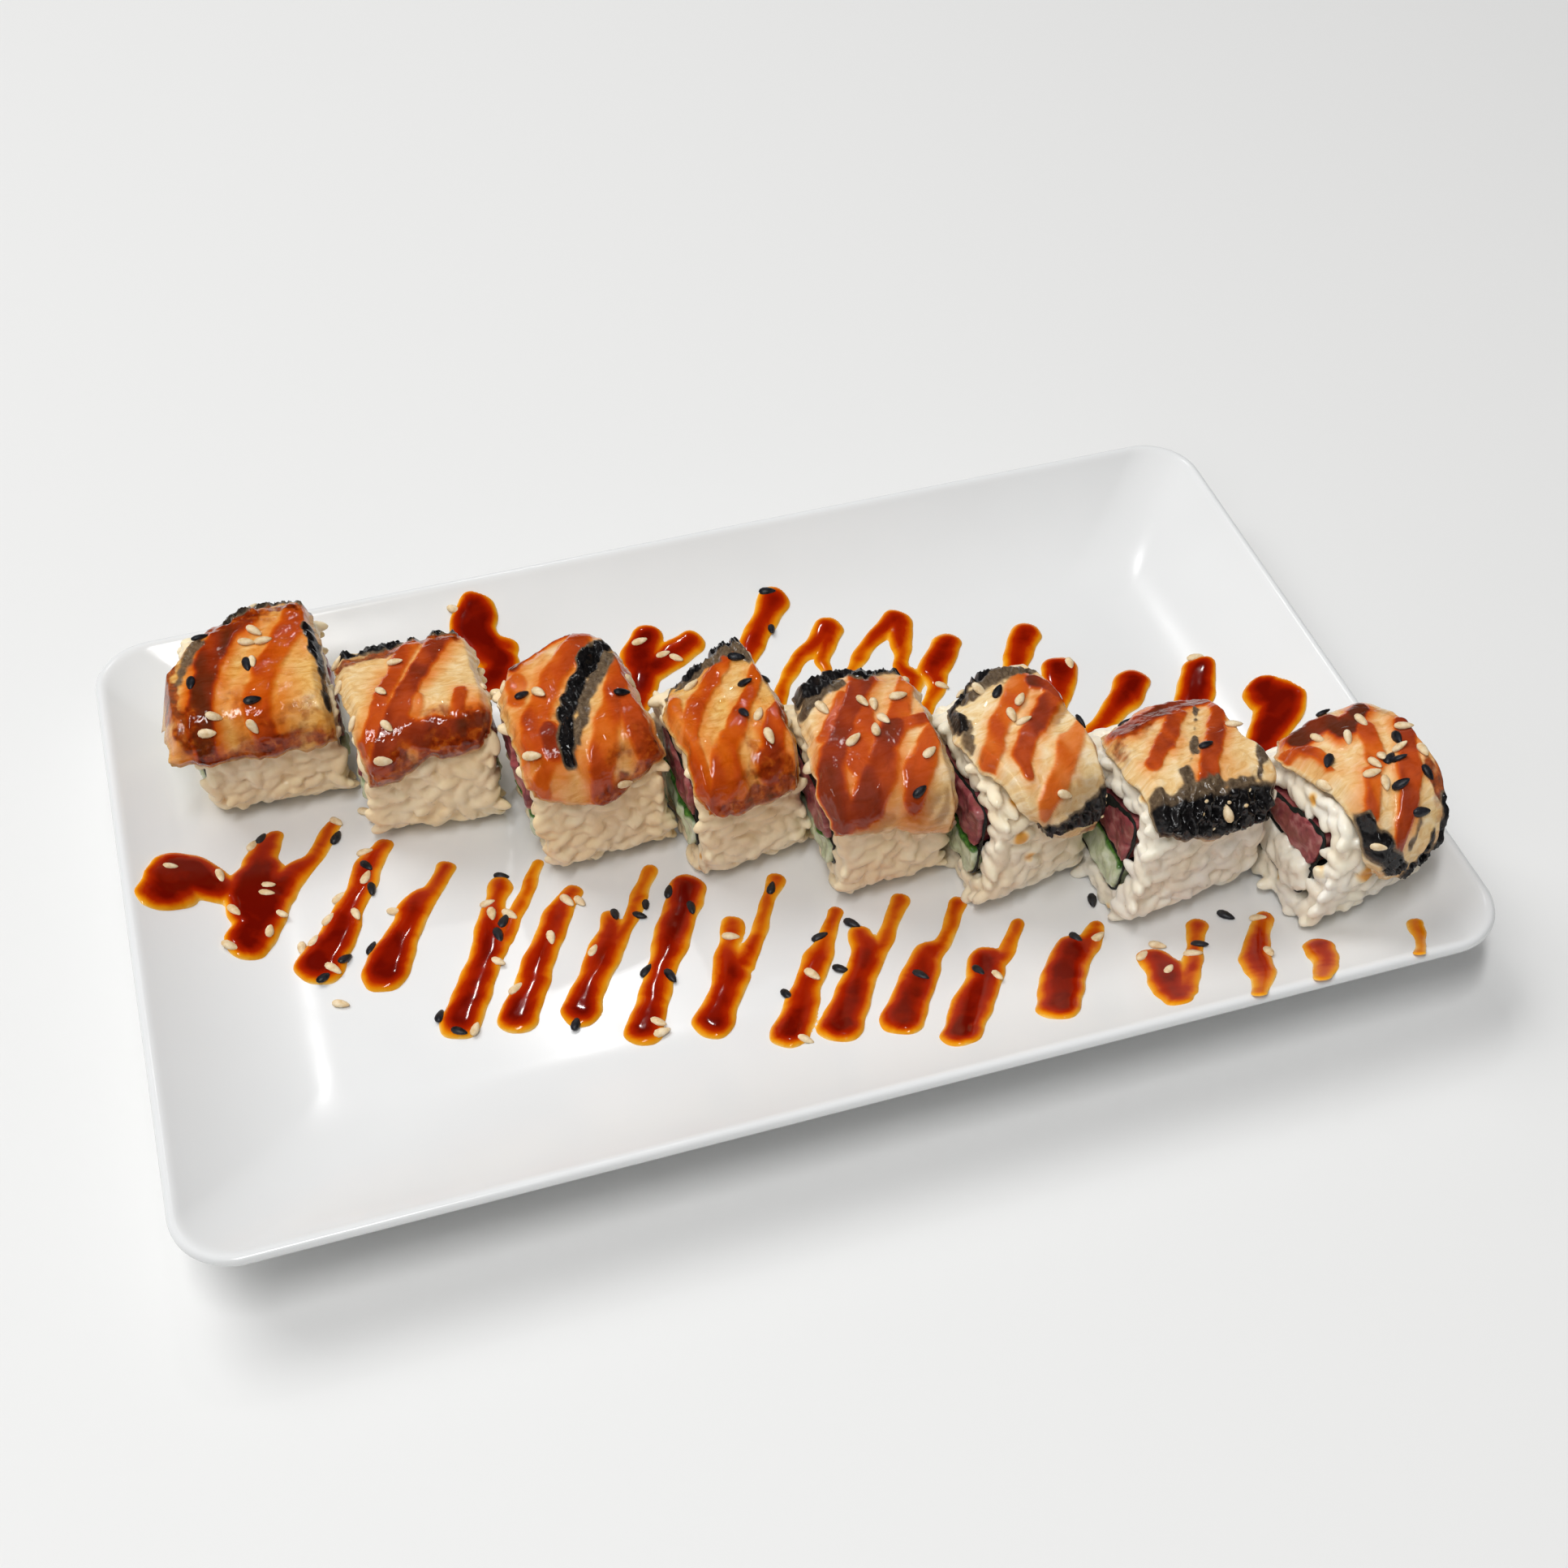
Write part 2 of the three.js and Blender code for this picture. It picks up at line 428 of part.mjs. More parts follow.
// ring of rice: grains stand out of its outer side and its sole clears the plate
function riceSolid(slice, size) {
  const random = seeded(Math.round(size.deep * 977));
  const around = 2 * (size.deep + slice.tall[0]) - 14;
  const count = Math.round(around / GRAIN);
  const outline = new THREE.Shape(section(slice, size, 0).getSpacedPoints(count).slice(0, count));
  const steps = Math.round(size.thick / GRAIN);
  const [my, mz] = [size.deep / 2, slice.tall[0] / 2];
  const outer = solid(new THREE.ExtrudeGeometry(outline, { depth: 1, steps, bevelEnabled: false }), (v) => {
    const bump = (GRAIN_RELIEF * (random() - 0.45) * 2) / Math.hypot(v.x - my, v.y - mz);
    const p = place(slice, size, v.z * 2 - 1, v.x + (v.x - my) * bump, v.y + (v.y - mz) * bump);
    p.z = Math.max(p.z, plateTop(p.x, p.y) + SOLE_GAP);
    return p;
  });
  return outer.subtract(throughBody(slice, size, section(slice, size, RICE_RING), 1.3));
}

// seaweed: a closed loop with a wall between the upper and the lower filling
function noriSolid(slice, size) {
  const loop = section(slice, size, RICE_RING + GAP);
  openings(slice, size, 0).forEach((hole) => loop.holes.push(new THREE.Path(hole.getPoints(1))));
  return throughBody(slice, size, loop, 0.99);
}

function fillings(slice, size, number) {
  const [upper, lower] = openings(slice, size, GAP).map((shape) => throughBody(slice, size, shape, 0.985));
  const last = number === SLICES.length;
  const [name, colour] = last ? [`clump_${number}`, COLOURS.clump] : [`cucumber_${number}`, COLOURS.cucumber];
  return [meshOf(`tuna_${number}`, upper, COLOURS.tuna, 0.45), meshOf(name, lower, colour, 0.4)];
}

// ----------------------------------------------------------------------- eel
// y and z at a length along the roof, from the far corner over the top to the front
function roof(slice, size, s, out) {
  const arc = (Math.PI / 2) * ROUND;
  const flat = size.deep - 2 * ROUND;
  const reach = ROUND + out;
  if (s < arc) {
    const t = s / ROUND;
    return [size.deep - ROUND + reach * Math.cos(t), slice.tall[1] - ROUND + reach * Math.sin(t)];
  }
  if (s < arc + flat) {
    const t = (s - arc) / flat;
    return [mix(size.deep - ROUND, ROUND, t), mix(slice.tall[1], slice.tall[0], t) + out];
  }
  const t = Math.min((s - arc - flat) / ROUND, Math.PI / 2);
  const down = Math.max(0, s - 2 * arc - flat);
  return [ROUND - reach * Math.sin(t), slice.tall[0] - ROUND + reach * Math.cos(t) - down];
}

// raised glaze: stripes that run from the far edge towards the front
function stripeRelief(slice, a, w) {
  return slice.stripes.reduce((sum, at) => {
    const d = (a - at + 0.25 * (w - 0.4)) / 0.2;
    return sum + STRIPE_RELIEF * Math.exp(-d * d) * THREE.MathUtils.smoothstep(0.95 - w, 0, 0.3);
  }, 0);
}

// point of the eel: across from -1 to 1, w from far edge to near edge, lift 0 or 1
function eelPoint(slice, size, c, w, lift) {
  const a = mix(along(slice.left, w), along(slice.right, w), (c + 1) / 2);
  const s = mix(across(slice.far, c), across(slice.near, c), w);
  const edge = Math.min(1, 3 * Math.min(w, 1 - w) + 0.45) * Math.min(1, 4 * (1 - Math.abs(c)) + 0.6);
  const thick = EEL_THICK * edge + stripeRelief(slice, a, w);
  const [y, z] = roof(slice, size, s, EEL_GAP + lift * thick);
  const [pa, pw, high] = slice.peak;
  const peak = high * Math.exp(-(((a - pa) / 0.7) ** 2) - ((w - pw) / 0.3) ** 2) * (0.35 + 0.65 * lift);
  const hang = slice.droop * Math.max(0, (-1.2 - a) / 0.18) * Math.min(1, 2 * (1 - w));
  return place(slice, size, a, y, z + peak - hang);
}

function eelSolid(slice, size, number) {
  const [nx, nw] = EEL_GRID;
  let body = solid(new THREE.BoxGeometry(2, 1, 1, nx, nw, 1), (v) => (
    eelPoint(slice, size, v.x, v.y + 0.5, v.z > 0 ? 1 : 0)
  ));
  const random = seeded(40 + number);
  slice.seeds.forEach(([c, w]) => {
    const at = eelPoint(slice, size, c, w, 1);
    const side = eelPoint(slice, size, c + 0.05, w, 1).sub(at);
    const back = eelPoint(slice, size, c, w - 0.03, 1).sub(at);
    const normal = side.cross(back).normalize();
    body = body.add(seedSolid(at.addScaledVector(normal, 0.1), normal, random() * Math.PI));
  });
  return body;
}

// ------------------------------------------------------------------ assembly
function buildSlice(slice, number) {
  const size = measure(slice);
  return [
    meshOf(`rice_${number}`, riceSolid(slice, size), COLOURS.rice, 0.6),
    meshOf(`nori_${number}`, noriSolid(slice, size), COLOURS.nori, 0.5),
    ...fillings(slice, size, number),
    meshOf(`eel_${number}`, eelSolid(slice, size, number), COLOURS.eel, 0.35),
  ];
}

function buildPlate() {
  const sauce = [...NEAR_DRIPS, ...FAR_DRIPS].map(dripSolid);
  const whole = [plateSolid(), ...sauce, ...plateSeeds()].reduce((sum, part) => sum.add(part));
  return meshOf('plate', whole, COLOURS.plate, 0.2);
}

const root = new THREE.Group();
root.name = 'sushi_roll';
root.add(buildPlate());
SLICES.forEach((slice, i) => root.add(...buildSlice(slice, i + 1)));

export default root;
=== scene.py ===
"""A grilled-eel roll: eight slices in a stepped row on a rectangular porcelain plate.

Metres, +Z up, origin on the table under the middle of the plate, +X along its long side.
Sizes in the tables are millimetres, as on the real dish.
"""
import math
import random

import bmesh
import bpy
import numpy as np
from mathutils import Matrix, Vector, noise


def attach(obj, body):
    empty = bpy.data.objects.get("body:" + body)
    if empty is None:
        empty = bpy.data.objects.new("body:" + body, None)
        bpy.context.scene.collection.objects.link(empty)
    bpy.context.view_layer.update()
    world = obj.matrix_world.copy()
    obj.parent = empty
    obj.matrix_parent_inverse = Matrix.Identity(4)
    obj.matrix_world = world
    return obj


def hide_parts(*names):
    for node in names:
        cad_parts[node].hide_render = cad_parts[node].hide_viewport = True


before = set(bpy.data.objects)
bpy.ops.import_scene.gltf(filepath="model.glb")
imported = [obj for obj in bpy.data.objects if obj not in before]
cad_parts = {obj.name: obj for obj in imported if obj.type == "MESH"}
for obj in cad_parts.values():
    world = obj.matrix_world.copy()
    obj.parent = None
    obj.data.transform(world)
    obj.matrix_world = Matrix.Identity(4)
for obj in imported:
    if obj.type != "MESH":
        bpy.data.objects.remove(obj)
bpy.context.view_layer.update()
MM = 0.001

# ---------------------------------------------------------------------- sizes
# plate: centre line of the lip, the wall inside it, and its profiles [inset, height]
LIP_LONG, LIP_WIDE, LIP_CORNER = 126.0, 78.85, 11.0
WALL_WIDE, WALL_RISE, FLOOR = 34.0, 12.0, 8.0
CORNER_STEPS = 18
LIP_PROFILE = [
    (1.2, 19.2), (0.6, 19.6), (0.0, 19.85), (-0.5, 19.9), (-0.95, 19.75), (-1.3, 19.4),
    (-1.45, 19.0), (-1.4, 18.5), (-1.15, 18.0), (-0.7, 17.45), (0.0, 16.8), (0.9, 15.9),
]
UNDER_PROFILE = [
    (2, 14.4), (5, 12.4), (8, 10.6), (12, 8.6), (16, 6.9), (21, 5.3), (26, 4.1), (31, 3.3),
    (36, 2.8), (36.9, 2.2), (37.3, 1.0), (37.7, 0.2), (38.4, 0.0),
]

# roll: rice round a seaweed loop round the fillings, eel over the top
ROUND, RICE_RING, TUNNEL_ROUND = 8.0, 5.4, 3.4
GAP, SHEET, WALL_LEVEL = 0.4, 0.8, 0.46
EEL_GAP, EEL_THICK = 1.1, 3.4
GRAIN = dict(long=6.2, wide=3.4, thick=2.8)
SEED = dict(long=3.7, wide=2.25, thick=1.35)
GRAIN_SPACING, CORE_INSET, RICE_VOXEL = 2.35, 1.1, 0.4
FILLING_SWELL, FILLING_VOXEL, SEAWEED_THICK = 0.45, 0.5, 0.4
SAUCE_HIGH, SAUCE_CELL = 1.45, 0.42

# Slices from left to right. foot: near left, near right, far right, far left corner.
# tall: rice height near and far; lean: run of the cut faces to the right per millimetre
# of height; lift: height of the sole over the floor at the left and right. The eel's
# outline: left and right from far to near edge with 1 the cut face, far and near edge as
# lengths along the roof at left, middle and right; peak: across, along, height.
SLICES = {
    1: dict(
        foot=[(-108, 30.5), (-80, 30.5), (-79.5, 66), (-108, 66)],
        tall=(25.5, 25), lean=(0, 0), lift=(1.5, 0),
        left=[-0.6, -1, -1.38, -1.38, -1.38],
        right=[0.92, 0.91, 0.95, 0.9, 0.97],
        far=[11, 7, 6], near=[42, 43, 43], peak=(0.4, 0, 2), droop=7,
    ),
    2: dict(
        foot=[(-77.5, 16.3), (-51.4, 13.9), (-49.6, 46.5), (-74.5, 49)],
        tall=(28, 25), lean=(0, 0), lift=(0, 0),
        left=[-1.2, -1.18, -1.08, -0.98, -0.91],
        right=[0.96, 0.98, 1, 1, 0.98],
        far=[7, 7, 7], near=[42, 38, 37], peak=(0.2, 0, 1), droop=0,
    ),
    3: dict(
        foot=[(-44.2, -3.7), (-18.4, -2.5), (-19.9, 30.5), (-45.2, 29.3)],
        tall=(31, 30), lean=(-0.12, -0.12), lift=(0, 0),
        left=[-0.7, -0.98, -1, -0.98, -1],
        right=[0.96, 1.03, 1.05, 1.06, 1.12],
        far=[8, 5, 6], near=[39, 43, 37], peak=(0.4, 0, 4.5), droop=0,
    ),
    4: dict(
        foot=[(-16.1, -14.8), (7.2, -11.4), (3.6, 21.5), (-17.6, 18.5)],
        tall=(30.5, 30), lean=(0, -0.1), lift=(0, 0),
        left=[-1, -1.15, -1.08, -1.08, -1],
        right=[1.12, 1.12, 1.15, 1.04, 0.85],
        far=[13, 8, 6], near=[42, 42, 42], peak=(0.9, 0, 3.5), droop=0,
    ),
    5: dict(
        foot=[(9.3, -27.5), (30.3, -26), (29, 8), (7.9, 7)],
        tall=(29, 29.5), lean=(-0.08, 0), lift=(0, 0),
        left=[-0.75, -0.86, -1, -1.12, -1.15],
        right=[1.12, 1.12, 1.12, 1.08, 1.02],
        far=[6, 6, 9], near=[41, 42, 48], peak=(-0.3, 0, 2.5), droop=0,
    ),
    6: dict(
        foot=[(34, -38.5), (56.8, -33.5), (53.8, 1.5), (31.2, -3)],
        tall=(30.5, 29), lean=(0.1, 0.05), lift=(0, 0),
        left=[-0.9, -1.12, -1.05, -0.75, -0.3],
        right=[1, 1.05, 1.08, 1.06, 1],
        far=[11, 7, 8], near=[44, 49, 50], peak=(0.3, 0, 2.5), droop=0,
    ),
    7: dict(
        foot=[(57.9, -51), (88.6, -46), (84.2, -11.5), (57.6, -14.5)],
        tall=(30, 25), lean=(0.2, 0.06), lift=(0, 0),
        left=[-0.91, -1.02, -1.05, -1.05, -0.97],
        right=[1.08, 1.03, 0.95, 1, 0.85],
        far=[12, 10, 12], near=[40, 43, 44], peak=(0, 0, 1), droop=0,
    ),
    8: dict(
        foot=[(92.3, -63.5), (117, -59.5), (113.5, -28), (89.2, -30)],
        tall=(28.5, 24.5), lean=(0.22, 0.04), lift=(1.5, 4),
        left=[-1.2, -1.05, -0.95, -0.75, -0.2],
        right=[1.25, 1.3, 1.1, 0.95, 0.7],
        far=[11, 8, 8], near=[48, 50, 48], peak=(0.2, 0, 1.5), droop=0,
    ),
}

# Strokes painted on each eel: kind, strength, then x, s, half width along the stroke. x runs
# across the slice from its middle, s along the roof from the far corner. These places and
# those of the seeds, specks and stains below were taken one by one from the photograph, and a
# program turned most of them into millimetres.
EEL_MARKS = {
    1: [
        ("glaze", 0.85, [
            (0.4, 11.9, 2.8), (-4.3, 14.8, 3.0), (-7.7, 21.1, 2.8), (-9.8, 29.4, 2.3),
            (-11.8, 35.0, 2.1), (-12.5, 38.1, 2.1), (-12.3, 41.0, 2.0),
        ]),
        ("glaze", 0.55, [
            (10.5, 12.1, 2.3), (7.6, 18.8, 3.1), (3.4, 25.5, 3.1), (0.6, 33.0, 3.0),
            (-1.3, 36.6, 2.5), (0.1, 39.9, 1.8),
        ]),
        ("skin", 0.75, [
            (-3.9, 11.7, 0.6), (0.7, 9.9, 1.0), (5.7, 6.9, 1.4), (10.1, 7.5, 1.7),
            (12.0, 9.7, 1.0),
        ]),
        ("grill", 0.9, [
            (-2.1, 12.2, 1.5), (2.9, 11.3, 1.8), (8.4, 10.5, 1.3), (11.5, 11.6, 0.8),
        ]),
        ("grey", 0.45, [(-10.0, 17.0, 1.2), (-13.0, 22.3, 1.4), (-14.5, 27.0, 1.0)]),
        ("grill", 1, [(-16.1, 22.9, 1.4), (-17.5, 28.7, 1.9), (-16.4, 34.3, 1.6)]),
        ("grill", 0.8, [
            (-15.0, 35.3, 2.0), (-15.5, 38.4, 2.3), (-14.7, 41.3, 2.0), (-9.4, 42.0, 2.3),
            (-2.9, 42.1, 2.8), (3.9, 41.3, 3.0), (10.4, 40.4, 2.5), (13.4, 41.1, 1.0),
        ]),
        ("grill", 0.35, [
            (-6.2, 34.7, 2.0), (-0.4, 37.6, 3.0), (6.2, 37.4, 2.5), (11.1, 36.7, 1.5),
        ]),
        ("skin", 1, [(12.3, 16.9, 0.3), (13.0, 27.2, 0.4), (13.4, 36.7, 0.4), (14.7, 41.9, 0.4)]),
        ("grill", 1, [(-14.0, 14.5, 1.8), (-7.0, 12.4, 2.3), (1.0, 9.6, 2.0), (9.0, 7.6, 1.6),
                      (13.0, 8.5, 1.3)]),
        ("grill", 0.95, [(-16.5, 17.0, 1.6), (-17.5, 26.0, 2.0), (-17.0, 34.0, 2.2)]),
    ],
    2: [
        ("skin", 1, [
            (-16.8, 8.8, 1.3), (-12.4, 10.0, 1.2), (-7.7, 8.8, 1.9), (-3.1, 8.2, 1.4),
            (2.6, 7.2, 1.5), (7.7, 7.2, 1.8), (12.8, 7.6, 1.2),
        ]),
        ("grill", 0.9, [(-16.5, 12.4, 1.2), (-13.6, 12.8, 1.5), (-8.5, 12.1, 1.0), (1.0, 9.6, 1.0),
                        (9.0, 10.0, 1.2)]),
        ("glaze", 0.75, [
            (7.5, 9.2, 2.4), (3.8, 14.3, 2.3), (0.0, 21.6, 2.0), (-3.5, 29.2, 2.0),
            (-5.6, 32.7, 2.0), (-8.1, 35.2, 2.3), (-9.2, 37.9, 2.5),
        ]),
        ("glaze", 0.5, [
            (0.3, 10.6, 1.8), (-2.9, 15.9, 1.8), (-5.8, 23.5, 1.6), (-7.9, 29.9, 1.5),
            (-10.4, 33.2, 1.3), (-12.2, 35.1, 1.0),
        ]),
        ("glaze", 0.45, [(-0.7, 29.0, 1.5), (-2.2, 32.4, 2.0), (-4.1, 34.1, 1.5)]),
        ("glaze", 0.45, [(8.4, 28.8, 0.6), (7.5, 31.3, 1.0), (6.0, 33.2, 1.0)]),
        ("grill", 0.95, [
            (-11.1, 41.5, 1.5), (-6.8, 39.8, 2.5), (-0.9, 38.1, 2.9), (5.0, 37.1, 2.5),
            (9.7, 36.6, 2.5), (13.9, 36.1, 2.0),
        ]),
        ("glaze", 0.8, [
            (-3.8, 32.9, 1.4), (-0.9, 34.4, 2.0), (4.7, 34.6, 1.9), (9.4, 34.2, 1.8),
            (13.4, 33.9, 1.8),
        ]),
        ("grill", 0.5, [(1.4, 32.7, 1.5), (8.1, 32.1, 2.0), (13.5, 31.6, 1.5)]),
    ],
    3: [
        ("skin", 1, [
            (12.4, 11.0, 0.7), (9.2, 12.8, 1.1), (5.7, 15.9, 1.4), (2.3, 20.3, 1.5),
            (-0.4, 24.7, 1.5), (-2.2, 29.7, 1.5), (-3.6, 32.4, 1.6), (-4.1, 34.3, 0.8),
        ]),
        ("grey", 0.55, [
            (11.0, 13.9, 1.5), (6.8, 18.6, 1.9), (3.4, 23.3, 1.7), (0.6, 29.4, 1.4),
            (-1.2, 32.2, 0.8),
        ]),
        ("glaze", 0.8, [(3.6, 6.2, 1.1), (-1.7, 6.2, 1.3), (-6.1, 7.3, 1.2), (-8.1, 10.0, 0.8)]),
        ("glaze", 0.5, [
            (7.9, 8.7, 2.0), (3.9, 12.6, 2.5), (-1.0, 16.4, 2.6), (-4.9, 21.5, 3.1),
            (-8.1, 27.4, 3.1), (-9.6, 32.0, 2.3),
        ]),
        ("glaze", 0.75, [(-5.7, 29.8, 2.0), (-6.2, 32.3, 2.1)]),
        ("glaze", 0.35, [(-8.5, 14.2, 2.0), (-9.4, 19.7, 1.5)]),
        ("glaze", 0.5, [
            (14.2, 13.5, 1.1), (11.1, 20.3, 1.9), (7.5, 27.6, 2.4), (4.5, 32.5, 2.4),
            (1.7, 35.9, 1.9), (-0.3, 40.1, 1.6),
        ]),
        ("glaze", 0.4, [(11.0, 27.4, 1.7), (10.8, 32.3, 2.4), (11.1, 35.5, 2.2)]),
        ("grill", 0.75, [
            (0.3, 41.3, 1.7), (4.6, 39.9, 2.4), (10.2, 38.2, 2.6), (14.6, 37.0, 1.5),
        ]),
        ("grill", 0.45, [(6.1, 35.9, 3.0), (10.2, 33.5, 2.5)]),
        ("glaze", 0.4, [(-7.6, 33.7, 0.8), (-10.2, 36.0, 0.7), (-11.8, 38.3, 1.5)]),
        ("grey", 0.45, [(-11.6, 6.5, 0.9), (-10.8, 10.3, 1.1)]),
        ("grill", 0.95, [(-12.5, 10.0, 1.2), (-8.0, 7.5, 1.4), (-2.0, 5.6, 1.4), (5.0, 5.4, 1.4),
                         (11.0, 7.6, 1.2)]),
    ],
    4: [
        ("skin", 1, [
            (-15.1, 18.2, 0.8), (-13.1, 13.4, 1.2), (-8.1, 10.9, 1.5), (1.8, 8.2, 1.7),
            (7.8, 8.6, 1.7), (13.7, 7.2, 1.7),
        ]),
        ("grey", 0.55, [
            (-8.8, 14.0, 1.1), (-2.2, 10.7, 1.3), (5.5, 10.4, 1.3), (10.5, 11.2, 1.8),
            (11.1, 14.2, 1.0),
        ]),
        ("glaze", 0.45, [
            (6.9, 11.7, 1.5), (1.3, 14.7, 1.9), (-4.1, 18.7, 2.0), (-8.7, 23.4, 1.9),
            (-10.8, 28.3, 1.3),
        ]),
        ("glaze", 0.55, [
            (11.7, 17.8, 1.2), (6.8, 23.1, 1.3), (1.3, 28.0, 1.8), (-3.2, 31.8, 2.3),
            (-6.2, 35.1, 3.3), (-8.8, 38.3, 3.0), (-10.7, 41.4, 2.1),
        ]),
        ("glaze", 0.6, [(12.7, 27.5, 1.1), (8.9, 31.3, 1.7), (6.1, 33.9, 2.2), (3.3, 36.8, 2.0)]),
        ("glaze", 0.4, [
            (-11.3, 18.2, 1.7), (-13.0, 26.8, 1.3), (-11.8, 31.8, 1.8), (-11.5, 35.4, 2.0),
        ]),
        ("grill", 0.95, [
            (-10.7, 42.2, 1.5), (-6.1, 40.6, 2.4), (-0.7, 39.3, 2.5), (4.9, 39.4, 2.0),
            (9.8, 39.4, 1.5),
        ]),
        ("grill", 0.5, [(1.9, 32.8, 1.7), (1.5, 35.9, 2.5), (8.5, 35.9, 2.0)]),
    ],
    5: [
        ("skin", 1, [
            (-8.9, 8.9, 1.0), (-8.1, 11.4, 1.6), (-4.5, 10.4, 1.7), (-0.2, 7.7, 1.7),
            (2.8, 9.9, 1.2), (6.5, 9.8, 1.0), (11.0, 9.4, 0.6),
        ]),
        ("grey", 0.6, [(-8.9, 14.8, 1.2), (-4.5, 12.3, 1.3), (-0.8, 11.9, 1.2)]),
        ("glaze", 0.68, [
            (3.4, 11.5, 2.1), (0.2, 16.5, 1.7), (-3.3, 21.5, 1.9), (-6.6, 26.4, 2.3),
            (-9.4, 31.0, 2.5), (-10.4, 34.7, 2.8), (-10.1, 37.8, 2.5), (-12.1, 39.8, 1.2),
        ]),
        ("glaze", 0.72, [
            (4.4, 25.6, 2.0), (1.5, 29.7, 2.5), (-1.2, 33.3, 2.6), (-4.0, 35.9, 2.6),
            (-6.6, 37.5, 2.0),
        ]),
        ("glaze", 0.5, [(11.6, 13.4, 1.0), (8.0, 19.7, 1.3), (4.8, 25.1, 1.4)]),
        ("glaze", 0.6, [(13.7, 25.4, 0.9), (10.0, 25.6, 1.1), (5.9, 25.9, 1.1)]),
        ("glaze", 0.5, [(11.2, 28.5, 1.4), (7.8, 32.6, 1.7), (4.5, 35.2, 1.7), (2.6, 38.2, 1.1)]),
        ("glaze", 0.45, [(-1.7, 15.4, 1.1), (-4.1, 19.3, 1.0), (-7.9, 23.4, 1.0)]),
        ("glaze", 0.5, [(0.6, 20.4, 1.5), (-1.5, 26.0, 2.3), (-4.0, 31.2, 2.3)]),
        ("brown", 0.75, [
            (-1.6, 39.8, 2.0), (3.4, 39.9, 2.5), (9.4, 37.7, 1.4), (7.2, 41.8, 2.0),
            (4.8, 43.7, 1.0),
        ]),
        ("brown", 0.6, [(-7.6, 40.2, 1.2), (-3.2, 40.5, 1.7), (1.4, 40.5, 1.3)]),
    ],
    6: [
        ("skin", 0.85, [(-11.7, 12.6, 0.9), (-5.5, 9.6, 1.1), (-0.2, 8.9, 1.0)]),
        ("grey", 0.6, [(-7.5, 12.7, 1.8), (-1.1, 11.2, 1.8), (5.5, 11.4, 1.7), (8.8, 12.7, 0.8)]),
        ("skin", 0.8, [(-11.3, 14.3, 1.1), (-11.7, 19.4, 0.7)]),
        ("grey", 0.45, [(-11.2, 19.6, 1.3), (-12.1, 24.4, 0.9)]),
        ("brown", 0.5, [(-6.2, 13.5, 1.0), (0.4, 12.4, 1.2)]),
        ("glaze", 0.45, [
            (6.3, 13.6, 2.0), (1.4, 18.2, 2.3), (-3.9, 22.2, 2.3), (-9.0, 27.6, 2.3),
            (-12.3, 31.8, 1.8),
        ]),
        ("glaze", 0.7, [
            (11.0, 20.7, 2.0), (4.9, 24.6, 2.3), (-0.4, 28.5, 2.0), (-4.6, 32.5, 1.7),
            (-4.8, 34.6, 0.8),
        ]),
        ("glaze", 0.8, [(7.5, 16.0, 1.2), (10.6, 19.1, 1.2), (12.1, 22.7, 0.7)]),
        ("glaze", 0.42, [
            (11.6, 30.8, 1.2), (6.7, 33.2, 1.5), (2.7, 35.7, 1.6), (-0.9, 37.9, 1.3),
            (-3.0, 39.5, 0.9),
        ]),
        ("brown", 0.7, [(10.6, 24.3, 0.8), (7.1, 27.1, 0.9)]),
        ("brown", 0.55, [
            (-2.1, 41.3, 1.2), (3.3, 40.3, 1.6), (8.8, 39.5, 1.6), (13.2, 38.6, 1.1),
        ]),
        ("skin", 1, [
            (-2.0, 43.7, 1.0), (3.3, 43.7, 1.5), (8.5, 43.3, 1.8), (11.9, 41.4, 2.0),
            (14.0, 40.0, 1.0),
        ]),
        ("grill", 0.6, [(0.9, 46.7, 0.5), (7.0, 47.8, 0.5), (11.8, 48.2, 0.5)]),
    ],
    7: [
        ("glaze", 0.8, [
            (-12.3, 15.6, 2.2), (-7.2, 14.4, 2.2), (-0.2, 13.6, 2.0), (7.8, 13.0, 1.9),
            (15.1, 13.0, 1.7), (19.4, 15.2, 1.2),
        ]),
        ("grill", 0.55, [(-15.5, 20.0, 1.8), (-14.0, 17.5, 2.0), (-7.0, 16.6, 1.4)]),
        ("glaze", 0.65, [
            (4.5, 15.7, 1.7), (-0.8, 19.8, 1.8), (-6.5, 24.2, 1.8), (-12.0, 27.9, 1.2),
        ]),
        ("glaze", 0.68, [
            (15.6, 17.2, 1.5), (8.6, 24.0, 1.9), (2.3, 30.5, 1.9), (-1.9, 34.4, 1.9),
            (-3.6, 35.9, 1.4),
        ]),
        ("grey", 0.6, [(9.2, 16.6, 0.5), (3.9, 22.7, 0.6), (-2.0, 29.3, 0.8), (-6.7, 33.7, 1.2)]),
        ("grey", 0.6, [
            (-16.6, 35.4, 1.0), (-9.6, 35.6, 1.1), (1.2, 35.8, 1.0), (10.1, 36.6, 1.0),
            (13.4, 33.9, 0.7),
        ]),
        ("skin", 1, [
            (-15.6, 37.9, 2.2), (-8.4, 38.9, 3.1), (-0.5, 39.5, 3.8), (7.5, 40.1, 4.0),
            (14.3, 40.8, 3.0),
        ]),
        ("grill", 0.6, [
            (-14.6, 40.1, 0.5), (-8.4, 42.1, 0.5), (4.4, 44.0, 0.5), (12.3, 44.2, 0.5),
        ]),
    ],
    8: [
        ("glaze", 0.95, [
            (-9.9, 12.5, 2.0), (-4.5, 11.4, 2.4), (-0.9, 12.1, 2.2), (-1.3, 16.1, 1.8),
            (4.1, 13.6, 1.4), (9.3, 11.5, 1.0),
        ]),
        ("glaze", 0.6, [
            (-15.6, 14.1, 1.0), (-10.9, 14.7, 1.6), (-10.0, 19.5, 1.4), (-10.9, 23.2, 0.8),
        ]),
